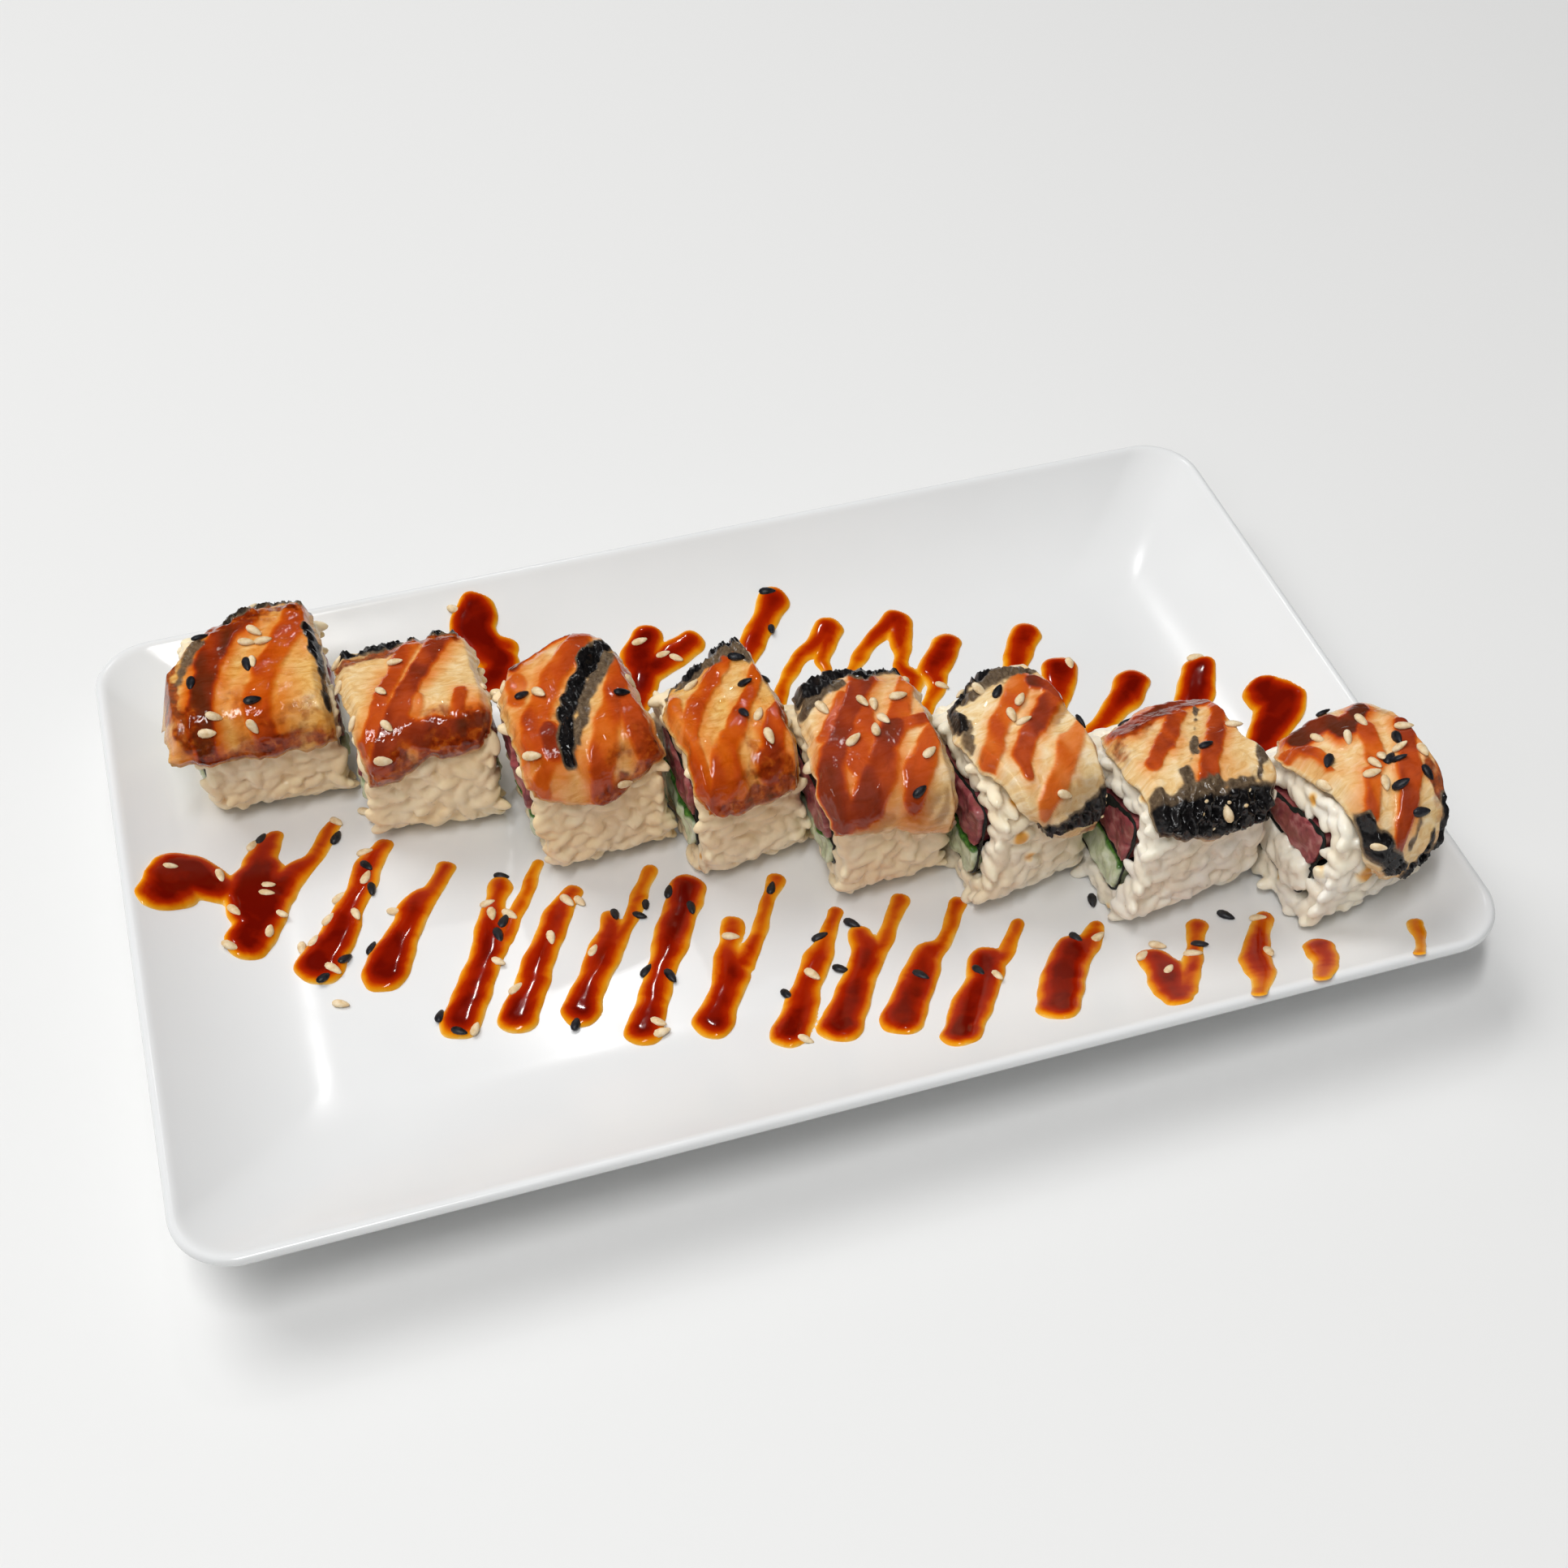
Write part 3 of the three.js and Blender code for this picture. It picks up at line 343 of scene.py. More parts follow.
        ("glaze", 0.5, [
            (4.6, 17.3, 2.0), (2.5, 22.1, 2.0), (-1.4, 27.4, 1.6), (-5.5, 30.7, 1.6),
            (-8.3, 33.1, 1.3),
        ]),
        ("glaze", 0.68, [
            (13.4, 19.2, 1.2), (10.5, 24.4, 1.7), (6.1, 29.8, 1.8), (2.8, 32.3, 1.8),
            (-0.1, 34.6, 1.8), (-1.9, 36.7, 1.6), (-2.9, 38.4, 0.8),
        ]),
        ("grill", 0.85, [
            (11.4, 27.8, 0.6), (10.9, 31.6, 0.9), (10.1, 34.9, 0.9), (9.9, 37.7, 0.6),
        ]),
        ("skin", 0.95, [(6.6, 39.4, 0.8), (6.5, 41.7, 1.1), (4.9, 44.9, 1.3), (3.3, 47.1, 0.9)]),
        ("grill", 0.7, [(0.3, 49.1, 0.4), (5.4, 51.4, 0.5), (8.1, 49.8, 0.6)]),
        ("brown", 0.5, [(11.9, 13.1, 1.2), (13.6, 17.8, 1.0), (14.4, 21.2, 0.6)]),
        ("grey", 0.5, [(2.9, 37.1, 0.9), (0.9, 39.5, 0.9)]),
        ("skin", 1, [(-15.5, 32.0, 1.0), (-11.6, 35.0, 1.5), (-7.0, 38.3, 1.8), (-3.0, 41.6, 1.7),
                     (0.6, 44.6, 1.6)]),
        ("grill", 1, [(13.6, 29.0, 1.2), (12.0, 34.4, 1.7), (9.8, 38.4, 1.8), (8.2, 42.4, 1.8),
                      (5.6, 47.6, 1.7)]),
        ("skin", 1, [(10.6, 36.6, 0.7), (9.0, 41.4, 0.9), (6.0, 46.0, 0.9)]),
    ],
}

# Seeds on each eel, white ones and then black ones: x, s and the angle in that plane.
EEL_SEEDS = {
    1: (
        [(-1.1, 7.3, 54), (2.0, 8.5, -61), (1.5, 16.5, 47), (-0.4, 19.1, 20),
         (2.9, 19.8, -12), (-0.1, 25.4, 90), (-9.4, 36.0, 17), (-11.1, 37.8, 4), (-2.5, 37.8, 63)],
        [(-9.1, 15.1, -28), (-12.3, 28.9, 90), (-1.1, 25.8, 90), (-1.3, 34.5, -4)],
    ),
    2: (
        [(-15.7, 10.8, -12), (-17.3, 19.3, 78), (-3.7, 16.1, 0), (-7.1, 25.9, 57),
         (-15.7, 31.0, 39), (-6.9, 32.8, 58), (-8.6, 37.0, 4), (13.0, 25.6, 25)],
        [(2.5, 6.7, 0)],
    ),
    3: (
        [(-5.0, 19.4, 66), (-10.7, 33.1, 13),
         (5.0, 39.4, 8), (13.6, 19.6, 96), (-15.1, 11.2, 21)],
        [(-8.4, 18.6, -20), (10.5, 25.4, -4)],
    ),
    4: (
        [(-4.9, 14.8, -29), (6.4, 28.6, -45), (6.2, 32.5, 96)],
        [(8.4, 13.3, 40), (7.5, 19.8, 9), (3.3, 27.6, 74), (14.2, 17.4, 106)],
    ),
    5: (
        [(11.5, 11.9, 38), (-5.7, 16.3, 70), (1.2, 18.0, 60), (2.8, 19.0, 99),
         (7.7, 18.5, 5), (3.3, 23.2, 65), (1.1, 25.1, -62), (-3.3, 26.3, -28), (8.0, 33.0, -27)],
        [(4.0, 37.0, -24)],
    ),
    6: (
        [(-5.7, 9.4, 124), (-3.6, 12.5, 76), (2.3, 19.7, -43),
         (-1.2, 21.9, 103), (0.7, 24.5, 27), (1.3, 38.7, 42)],
        [(-0.7, 15.4, -33), (11.4, 30.1, 83)],
    ),
    7: (
        [(13.2, 24.8, 38), (0.3, 39.2, -58)],
        [(-6.8, 10.9, 23), (1.9, 28.7, 6)],
    ),
    8: (
        [(-5.9, 14.2, 70), (-1.3, 18.1, 120), (5.0, 15.6, 66), (1.1, 26.5, 102), (-1.8, 27.2, 81),
         (-4.6, 29.2, 15),
         (-2.5, 31.1, 90), (7.0, 26.0, 8), (12.3, 21.2, 29), (-18.8, 26.8, 0), (-8.4, 37.5, 11),
         (11.1, 29.1, 90)],
        [(-9.9, 21.6, 124), (2.6, 27.4, -27), (4.0, 28.6, 29), (8.8, 23.3, 105),
         (0.5, 32.0, 13), (8.4, 31.9, 98), (3.3, 35.8, 29), (1.6, 9.2, 4)],
    ),
}

# White seeds, and below them black ones, on the plate: x, y and the angle.
PLATE_TAN = [
    (-118.1, 16.2, 2), (-109.2, 14.5, -83), (-101.9, 23.5, 53), (-84.5, 25.8, -52),
    (-100.5, 11.3, -9), (-101.0, 9.2, -16), (-107.6, 5.1, -56), (-99.0, 3.4, -37),
    (-101.8, -0.7, 75), (-109.5, -4.0, -30), (-80.3, 15.8, -3), (-81.3, 8.5, 56),
    (-87.3, 5.3, 41), (-90.2, 0.0, 46), (-84.8, -0.4, -77), (-93.9, -4.9, 57),
    (-96.4, -5.8, -98), (-91.3, -13.1, -46), (-77.2, -1.6, -24), (-91.3, -21.6, -29),
    (-78.1, 26.8, -30), (-59.1, -5.2, 9), (-58.9, -8.3, -94), (-55.5, -9.2, -52),
    (-60.2, -20.5, -41), (-58.3, -28.1, 32), (-49.0, -17.8, -95), (-43.7, -9.3, -63),
    (-41.4, -9.7, -63), (-41.7, -23.3, 52), (-34.1, -44.1, -41), (-34.1, -46.5, 8),
    (-14.9, -27.8, -17), (-67.8, -35.3, 62), (-2.4, -41.7, -59), (-8.6, -57.2, -36),
    (31.6, -53.0, -72), (54.1, -49.5, 19), (60.3, -57.4, 38), (64.4, -55.3, -37),
    (62.7, -63.7, 46), (69.5, -60.3, -23), (86.3, -54.7, -21), (82.8, -65.6, -96),
    (-11.2, 57.8, 9), (-7.0, 53.4, 10), (-4.5, 51.8, -40), (-49.3, 73.4, -30), (49.3, 26.9, -38),
    (78.5, 24.7, -102), (105.2, 17.2, -4),
]
PLATE_BLACK = [
    (-100.0, 25.0, 56), (-85.3, 21.5, 57), (-80.6, 11.7, -61), (-80.7, 5.5, -92),
    (-88.7, -11.0, 34), (-93.3, -14.6, 29), (-83.3, -9.7, 55), (-54.9, 1.4, -24),
    (-57.1, -10.8, 53), (-58.8, -14.2, -87), (-73.6, -30.1, 67), (-70.8, -35.1, -35),
    (-49.1, -39.6, 60), (-35.4, -15.3, -89), (-28.9, -14.4, -97), (-30.8, -17.0, -36),
    (-23.6, -13.0, 71), (-20.5, -18.5, -90), (-32.9, -31.0, 41), (-28.9, -33.8, -72),
    (-3.6, -18.1, 62), (9.1, -31.5, -49), (1.9, -32.9, 8), (3.4, -41.8, -36), (-8.5, -44.8, -64),
    (17.6, -48.3, -51), (28.7, -50.7, -70), (50.1, -48.5, -65), (57.1, -40.0, -105),
    (72.1, -58.0, -30), (80.8, -51.8, -50), (18.4, 54.5, -99), (20.3, 63.7, -12),
]
# pale flecks on the eel: x, s
SPECKS = {
    6: [(11.6, 41.3), (11.6, 42.4), (10.3, 43.7)],
    7: [(-5.1, 37.0), (-5.8, 38.3), (0.9, 38.1), (5.0, 39.3), (4.2, 40.7), (-2.6, 40.9), (7.0, 37.8)],
}

# how cream-white the flesh of each slice is
FLESH_WHITE = {1: 0.15, 2: 0.55, 3: 0.4, 4: 0.2, 5: 0.85, 6: 1.0, 7: 0.7, 8: 0.8}
# thin glaze that runs all over the flesh of each slice
WASH = {1: 0.2, 2: 0.16, 3: 0.24, 4: 0.24, 5: 0.18, 6: 0.12, 7: 0.16, 8: 0.2}
# how far the edge of each kind of stroke on the eel wanders, how much wider it is painted
# than its half width, and how strong its halo is
RAGGED = dict(glaze=0.8, skin=1.0, grey=1.6, grill=2.0, brown=2.0)
WIDER = dict(glaze=0.8, skin=0.5, grey=0.2, grill=0.2, brown=0.1)
HALO = dict(glaze=0.4, skin=0.12, grey=0.2, grill=0.45, brown=0.5)
# how warm the rice of each slice looks: partly glaze that has seeped in, partly painted warm bounce light
# from the glaze on rice in shade
RICE_SOAK_AND_BOUNCE = {1: 0.19, 2: 0.2, 3: 0.2, 4: 0.19, 5: 0.18, 6: 0.12, 7: 0.07, 8: 0.07}
# glaze that ran into the rice: x, y, z, reach, amount
RICE_STAINS = {
    4: [(-16.4, -8.0, 22.9, 1.3, 0.6), (-16.4, -9.0, 20.4, 1.2, 0.6), (-16.3, -9.7, 16.9, 1.2, 0.6),
        (-16.3, -10.5, 14.2, 1.1, 0.6), (-16.3, -10.7, 10.7, 1.1, 0.55)],
    6: [(40.8, -33.8, 36.5, 1.8, 0.6), (41.3, -37.2, 29.0, 2.2, 0.65), (44.0, -36.8, 22.1, 1.7, 0.55)],
    7: [(64.3, -41.2, 38.0, 1.7, 0.5), (60.8, -42.0, 23.5, 2.0, 0.6), (59.8, -43.5, 18.4, 2.0, 0.6),
        (58.1, -43.7, 9.8, 1.5, 0.5)],
    8: [(96.6, -49.0, 34.9, 1.7, 0.6), (95.2, -58.4, 24.9, 1.7, 0.5), (92.2, -49.1, 15.1, 1.7, 0.5),
        (103.8, -62.0, 25.4, 3.0, 0.75)],
}

# Sauce on the plate: x, y, half width along each drip, from its start to its end. A program
# fitted these numbers to the outlines in the photograph.
NEAR_DRIPS = [
    [(-121.9, 7.9, 3.4), (-118.5, 11, 5), (-115.8, 15.7, 5.7), (-110, 11.9, 4.4)],
    [(-97.4, 25, 2.1), (-100.7, 20, 3.3), (-101.4, 15.6, 4.6), (-102.6, 11.6, 5.8), (-103.3, 7, 6.4),
     (-103.5, 2.1, 4.9), (-106.5, -3.1, 4.2)],
    [(-85.2, 25.1, 1.9), (-88, 21.2, 2), (-91.1, 17.3, 2.1), (-95, 14.2, 3.1), (-99.1, 9.8, 4.1)],
    [(-76.6, 16.6, 2.2), (-79.9, 12.4, 2.9), (-82.5, 7.1, 2.9), (-85.3, 2.7, 3.2), (-87.2, -0.9, 3.6),
     (-89.7, -5.2, 4.2), (-93.5, -10.8, 5)],
    [(-65.5, 7, 2.1), (-68.9, 1.6, 2.1), (-72.9, -1.2, 3.4), (-75.2, -5.3, 3.5), (-78.3, -10.3, 4),
     (-82, -16.5, 4.7)],
    [(-55.5, -1, 2.5), (-57.5, -4.7, 2.2), (-59.1, -9, 2.9), (-60.5, -14.4, 3.7), (-62.8, -19.6, 3.7),
     (-65.9, -25, 3.6), (-70, -32.6, 4.2)],
    [(-47, 2.5, 1.3), (-50.3, -2.8, 1.6), (-53.8, -8.5, 1.7), (-57.8, -14.8, 2)],
    [(-42, -7, 2), (-45.6, -11.1, 2.9), (-48.3, -15.1, 3.1), (-50.9, -19.7, 3.3), (-53.4, -24, 3.2),
     (-55.8, -28.7, 3.5), (-59.2, -34.6, 4.1)],
    [(-36.8, -15.1, 1.6), (-37.2, -19, 2.7), (-38.8, -22.8, 3.5), (-41.9, -27.5, 3.3),
     (-44.9, -32.3, 3.5), (-47.4, -36.6, 4)],
    [(-25.8, -5.8, 1.7), (-29.6, -12.3, 1.7), (-33, -17.7, 1.7), (-36.9, -22.5, 2.1)],
    [(-19.8, -13, 3.9), (-23.6, -19.9, 3.9), (-26.7, -25.4, 3.6), (-29.3, -30.2, 3.1),
     (-31.5, -34.4, 3.1), (-33.9, -38.7, 3.3), (-36.8, -44.4, 4)],
    [(-19, -17.4, 1.2), (-22.1, -21.1, 1.6), (-25.2, -25, 2)],
    [(-13.5, -24.5, 2.4), (-15.7, -29.1, 2.2), (-16.7, -33.1, 3.1), (-17.5, -37, 3.6),
     (-20.2, -41.4, 3.6), (-23.8, -46.8, 4.1)],
    [(-2, -15.8, 1.9), (-6.7, -23.7, 1.5), (-10.5, -29.6, 2), (-14.4, -34.5, 2.5)],
    [(6.6, -27.9, 1.7), (3, -33.8, 2), (-0.4, -38.1, 2.9), (-3.5, -43, 2.8), (-6.6, -48, 3.4),
     (-10.6, -53.9, 4.2)],
    [(10, -34.6, 2.5), (9.8, -38.8, 3.3), (8.1, -42.3, 3.5), (5.5, -45.9, 3.5), (2.3, -50.5, 4),
     (-1.2, -55.8, 4.5)],
    [(20, -28.9, 2.2), (15.5, -35.1, 1.7), (11.2, -40.2, 2)],
    [(31.1, -32.8, 2), (27.9, -37, 1.6), (24.4, -41.5, 1.8), (21, -43.4, 3.1), (18.3, -46.9, 3.6),
     (14.8, -51.6, 4), (10.1, -58.6, 4.2)],
    [(40.6, -40.9, 1.5), (35.4, -47.7, 1.7), (31.3, -48.5, 3.8), (28.9, -53.1, 3.8), (24.5, -58.5, 3.9),
     (19, -66.8, 4.1)],
    [(55.8, -45.9, 1.4), (51.8, -49.9, 2.7), (48.3, -51.5, 4.1), (43.1, -58.4, 4.5), (38.9, -66, 4.3)],
    [(62.2, -58.9, 3.4), (62.3, -63.2, 4), (60.9, -67.9, 3.8), (59.6, -73, 3.1)],
    [(74.1, -52.9, 2.4), (71.6, -57.6, 1.6), (68.5, -61.9, 2.2), (65.7, -66.4, 2.2), (62.2, -71.4, 2.2)],
    [(87.9, -55, 2), (83.4, -60.3, 2.4), (80.3, -65.1, 3.2), (78.4, -70.2, 2.9), (75.7, -75.7, 1.9),
     (73.5, -79, 1.6)],
    [(92.6, -67.6, 3.1), (89.6, -74.6, 2.4), (86.5, -79, 1.9)],
    [(112.4, -69, 1.6), (109.4, -75.2, 1.1), (106.6, -79, 1.2)],
]
FAR_DRIPS = [
    [(-44.9, 71.6, 4.8), (-46.3, 68.6, 5.2), (-44.2, 63.1, 4.6), (-42.5, 59.6, 4.2), (-46, 55, 3.6)],
    [(-45, 65.4, 3.6), (-42.5, 64.4, 3), (-40, 63.5, 2.5)],
    [(-9.6, 58.1, 4.1), (-12.1, 54.6, 4.3), (-12.6, 50.3, 4.2), (-13.9, 46.1, 3.8), (-16.3, 42.1, 3.3),
     (-19, 38, 3)],
    [(-0.1, 55.6, 3.4), (-4.3, 53.6, 3.5), (-8.1, 51.5, 3.7), (-12, 50, 3.9)],
    [(20.9, 61.4, 3.7), (17.9, 57.4, 3.2), (14.9, 54.2, 3.1), (12.3, 50.8, 3), (9.8, 47, 2.5),
     (7, 42.9, 2), (4, 39, 1.5)],
    [(30.8, 51.5, 3.4), (26.7, 48, 2.8), (22.8, 45.4, 2.1), (19.4, 41.7, 1.8), (16.1, 37.6, 1.8),
     (13.7, 32.9, 1.9), (10, 29, 1.9)],
    [(31, 51, 3.1), (29.1, 46.8, 2.4), (26.7, 42.4, 1.8), (26.2, 37.7, 1.1), (24, 32, 1.1)],
    [(46.5, 49.8, 3.3), (41.5, 47.1, 2.5), (37.3, 43.8, 1.9), (33.8, 39.8, 1.7), (30.7, 35.6, 1.6),
     (27.4, 31.4, 1.6), (24, 27, 1.6)],
    [(46.9, 48.4, 3.2), (45.5, 43.2, 2.6), (43.9, 38.6, 1.9), (42.8, 34.9, 2), (43.9, 30.9, 2.6),
     (41, 26, 2.3)],
    [(54.8, 39.5, 3.5), (52, 35.7, 3.8), (49, 32, 3.3), (48.1, 27.1, 2.1), (44.8, 22.4, 1.8),
     (41.4, 18.1, 1.6), (38, 14, 1.6)],
    [(73, 37.2, 3.7), (70.3, 33.2, 3.4), (67.5, 29.3, 3), (65.2, 25.1, 2.8), (63.2, 20.8, 2.6),
     (61.1, 16.4, 2.4), (59, 12, 2.2)],
    [(76.1, 24.2, 4.3), (74.6, 20.6, 3.5), (72.5, 16.5, 2.8), (70.6, 11.9, 2.4), (69.6, 6.9, 2.3),
     (68.7, 1.8, 2.3), (68, -3, 2.2)],
    [(89.8, 16, 4), (86.7, 12, 3.8), (82.9, 9, 3.1), (78.8, 6.1, 2.6), (75.3, 3.3, 2.5), (74, -2, 2.2)],
    [(104.5, 13.6, 4), (101, 7.5, 4), (97, 3, 3.4), (92, -1, 2.8), (88, -7, 2.2)],
    [(113.5, 0.5, 4.3), (114.8, -4.5, 5.1), (112, -8, 4.9), (108.5, -11, 4.2), (106.4, -15, 3.6),
     (106, -19, 2.8)],
]

# -------------------------------------------------------------------- helpers
def smooth(t):
    t = np.clip(t, 0, 1)
    return t * t * (3 - 2 * t)


def mix(a, b, t):
    return a + (b - a) * t


def along(row, t):
    """Value of an evenly spaced row at t from 0 to 1, smooth between its entries."""
    row = np.array(row, float)
    k = np.clip(t, 0, 1) * (len(row) - 1)
    i = np.minimum(np.floor(k).astype(int), len(row) - 2)
    return mix(row[i], row[i + 1], smooth(k - i) * 0.5 + (k - i) * 0.5)


def across(row, c):
    """Three entries at left, middle and right."""
    return np.where(c < 0, mix(row[1], row[0], -c), mix(row[1], row[2], c))


def wobble(points, scale, seed, octaves=3):
    """Fractal noise from -1 to 1 at points in millimetres, with bumps of a given size."""
    shift = Vector((seed * 7.31, seed * 3.17, seed * 1.73))
    values = [noise.fractal(Vector(p) / scale + shift, 1.0, 2.0, octaves) for p in points]
    return np.array(values)


def mesh_object(name, bm):
    mesh = bpy.data.meshes.new(name)
    bm.to_mesh(mesh)
    bm.free()
    mesh.shade_smooth()
    thing = bpy.data.objects.new(name, mesh)
    bpy.context.collection.objects.link(thing)
    return thing


def coordinates(mesh):
    values = np.empty(len(mesh.vertices) * 3)
    mesh.vertices.foreach_get("co", values)
    return values.reshape(-1, 3)


def move_points(mesh, points):
    mesh.vertices.foreach_set("co", np.ascontiguousarray(points, dtype=float).ravel())
    mesh.update()


def store(mesh, name, values):
    layer = mesh.attributes.new(name, "FLOAT", "POINT")
    layer.data.foreach_set("value", np.asarray(values, dtype=float))


def applied(thing):
    """The object with its modifiers made real in its mesh."""
    graph = bpy.context.evaluated_depsgraph_get()
    mesh = bpy.data.meshes.new_from_object(thing.evaluated_get(graph))
    thing.modifiers.clear()
    thing.data = mesh
    mesh.shade_smooth()
    return thing


def fused(thing, voxel, rounds):
    """The object's overlapping shells as one closed skin, softened in some rounds."""
    remesh = thing.modifiers.new("fuse", "REMESH")
    remesh.mode, remesh.voxel_size, remesh.use_smooth_shade = "VOXEL", voxel * MM, True
    relax = thing.modifiers.new("soften", "SMOOTH")
    relax.factor, relax.iterations = 0.5, rounds
    return applied(thing)


def next_ring(bm, edges):
    """Extrudes a ring of edges and gives the new ring's vertices and edges."""
    made = bmesh.ops.extrude_edge_only(bm, edges=edges)["geom"]
    verts = [part for part in made if isinstance(part, bmesh.types.BMVert)]
    fresh = set(verts)
    lines = [part for part in made if isinstance(part, bmesh.types.BMEdge)]
    return verts, [edge for edge in lines if all(vert in fresh for vert in edge.verts)]


def belong(thing, slot, material, *nodes):
    thing.data.materials.clear()
    thing.data.materials.append(material)
    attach(thing, "root")
    if nodes:
        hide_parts(*nodes)
    return thing


def node_copy(name):
    """A closed copy of a CAD node as a bmesh, with its loose triangles merged."""
    bm = bmesh.new()
    bm.from_mesh(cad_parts[name].data)
    bmesh.ops.remove_doubles(bm, verts=bm.verts, dist=0.000002)
    bmesh.ops.recalc_face_normals(bm, faces=bm.faces)
    return bm


# ------------------------------------------------------------------ materials
def linear(code):
    """Linear colour of an sRGB hex code such as D9A05B."""
    channels = [int(code[i:i + 2], 16) / 255 for i in (0, 2, 4)]
    return [c / 12.92 if c <= 0.04045 else ((c + 0.055) / 1.055) ** 2.4 for c in channels] + [1]


def add(tree, kind, links=(), **settings):
    """Adds a shader node. links: socket name or number to a value or another socket."""
    made = tree.nodes.new(kind)
    for key, value in settings.items():
        setattr(made, key, value)
    for key, value in dict(links).items():
        socket = made.inputs[key]
        if isinstance(value, bpy.types.NodeSocket):
            tree.links.new(value, socket)
        else:
            socket.default_value = value
    return made


def ramp(tree, factor, stops):
    """Colour ramp of (place, hex code) stops."""
    made = add(tree, "ShaderNodeValToRGB", {0: factor})
    bar = made.color_ramp.elements
    while len(bar) < len(stops):
        bar.new(0.5)
    for element, (at, code) in zip(bar, stops):
        element.position = at
        element.color = linear(code)
    return made.outputs[0]


def blend(tree, factor, low, high, kind="MIX"):
    """Colour mixed from low to high by a factor."""
    made = add(tree, "ShaderNodeMix", {0: factor, 6: low, 7: high}, data_type="RGBA", blend_type=kind)
    return made.outputs[2]


def spread(tree, value, low, high, to_low=0.0, to_high=1.0):
    """Value stretched from one range to another, smooth at both ends."""
    return add(tree, "ShaderNodeMapRange", {0: value, 1: low, 2: high, 3: to_low, 4: to_high},
               interpolation_type="SMOOTHSTEP").outputs[0]


def combined(tree, operation, first, second):
    """Sum or product of two values."""
    return add(tree, "ShaderNodeMath", {0: first, 1: second}, operation=operation).outputs[0]


def new_material(name):
    material = bpy.data.materials.new(name)
    material.use_nodes = True
    tree = material.node_tree
    tree.nodes.clear()
    return material, tree


def finish_material(tree, links):
    shader = add(tree, "ShaderNodeBsdfPrincipled", links)
    add(tree, "ShaderNodeOutputMaterial", {0: shader.outputs[0]})


def object_noise(tree, size, detail=3.0, rough=0.5, stretch=(1, 1, 1), warp=0.0):
    """Noise with bumps of a size in millimetres, on Object coordinates."""
    place = add(tree, "ShaderNodeTexCoord").outputs["Object"]
    mapped = add(tree, "ShaderNodeMapping", {"Vector": place, "Scale": stretch}).outputs[0]
    links = {
        "Vector": mapped, "Scale": 1 / (size * MM), "Detail": detail, "Roughness": rough,
        "Distortion": warp,
    }
    return add(tree, "ShaderNodeTexNoise", links).outputs["Fac"]


def attribute(tree, name):
    return add(tree, "ShaderNodeAttribute", attribute_name=name).outputs["Fac"]


def bump(tree, height, depth, strength=1.0, normal=None):
    """Bump of a depth in millimetres."""
    links = {"Height": height, "Distance": depth * MM, "Strength": strength}
    if normal is not None:
        links["Normal"] = normal
    return add(tree, "ShaderNodeBump", links).outputs[0]


def porcelain():
    # glazed white porcelain: cool white, mirror-like glaze with a faint waviness
    material, tree = new_material("glazed_porcelain")
    cloud = object_noise(tree, 40, detail=2)
    colour = ramp(tree, cloud, [(0.3, "E5E6E6"), (0.7, "E9EAEA")])
    gloss = spread(tree, object_noise(tree, 12, detail=3), 0.3, 0.7, 0.16, 0.22)
    finish_material(tree, {
        "Base Color": colour, "Roughness": gloss, "IOR": 1.5, "Specular IOR Level": 0.5,
        "Normal": bump(tree, object_noise(tree, 18, detail=1), 0.03),
    })
    return material


def sauce():
    # thickened sweet soy sauce: amber where thin, deep red-brown where thick, wet gloss
    material, tree = new_material("sweet_soy_sauce")
    thick = attribute(tree, "film")
    waves = spread(tree, object_noise(tree, 5, detail=3, warp=0.6), 0.25, 0.75, -0.1, 0.1)
    uneven = combined(tree, "ADD", waves, thick)
    colour = ramp(tree, uneven, [
        (0.0, "F2BE60"), (0.07, "ECA42C"), (0.22, "E28A0C"), (0.42, "C85402"), (0.6, "A82602"),
        (0.8, "901802"), (1.0, "680B02"),
    ])
    finish_material(tree, {
        "Base Color": colour, "Roughness": 0.08, "IOR": 1.4, "Specular IOR Level": 0.35,
        "Normal": bump(tree, object_noise(tree, 4, detail=1), 0.05),
    })
    return material


def sesame(name, low, high, gloss):
    # sesame seed: matt skin with a faint grain
    material, tree = new_material(name)
    grain = object_noise(tree, 1.4, detail=4, rough=0.6)
    finish_material(tree, {
        "Base Color": ramp(tree, grain, [(0.35, low), (0.65, high)]), "Roughness": gloss, "IOR": 1.47,
        "Subsurface Weight": 0.08, "Subsurface Radius": (1, 0.7, 0.4), "Subsurface Scale": 0.0008,
        "Normal": bump(tree, object_noise(tree, 0.35, detail=3), 0.06),
    })
    return material


def steamed_rice():
    # steamed short-grain rice: moist, slightly translucent, warm where glaze has seeped in, and tinted all
    # over by a painted warm bounce light from the glaze
    material, tree = new_material("steamed_rice")
    patch = object_noise(tree, 3.2, detail=3, rough=0.55)
    colour = ramp(tree, patch, [(0.3, "F3F0E8"), (0.5, "FAF8F2"), (0.72, "FFFEFA")])
    # the attribute holds real glaze runs, and over each whole slice a painted warm bounce light from the
    # glaze
    stain_and_bounce = attribute(tree, "stain_and_bounce")
    soak_and_bounce = ramp(tree, stain_and_bounce, [
        (0.0, "FFFFFF"), (0.12, "FDF1DA"), (0.25, "FDE2B6"), (0.5, "EBAE50"), (1.0, "B8690F"),
    ])
    colour = blend(tree, 1.0, colour, soak_and_bounce, "MULTIPLY")
    finish_material(tree, {
        "Base Color": colour, "Roughness": spread(tree, patch, 0.2, 0.8, 0.24, 0.42), "IOR": 1.38,
        "Subsurface Weight": 0.45, "Subsurface Radius": (1.0, 0.92, 0.78), "Subsurface Scale": 0.0012,
        "Coat Weight": 0.3, "Coat Roughness": 0.12,
        "Normal": bump(tree, object_noise(tree, 1.6, detail=3), 0.12),
    })
    return material


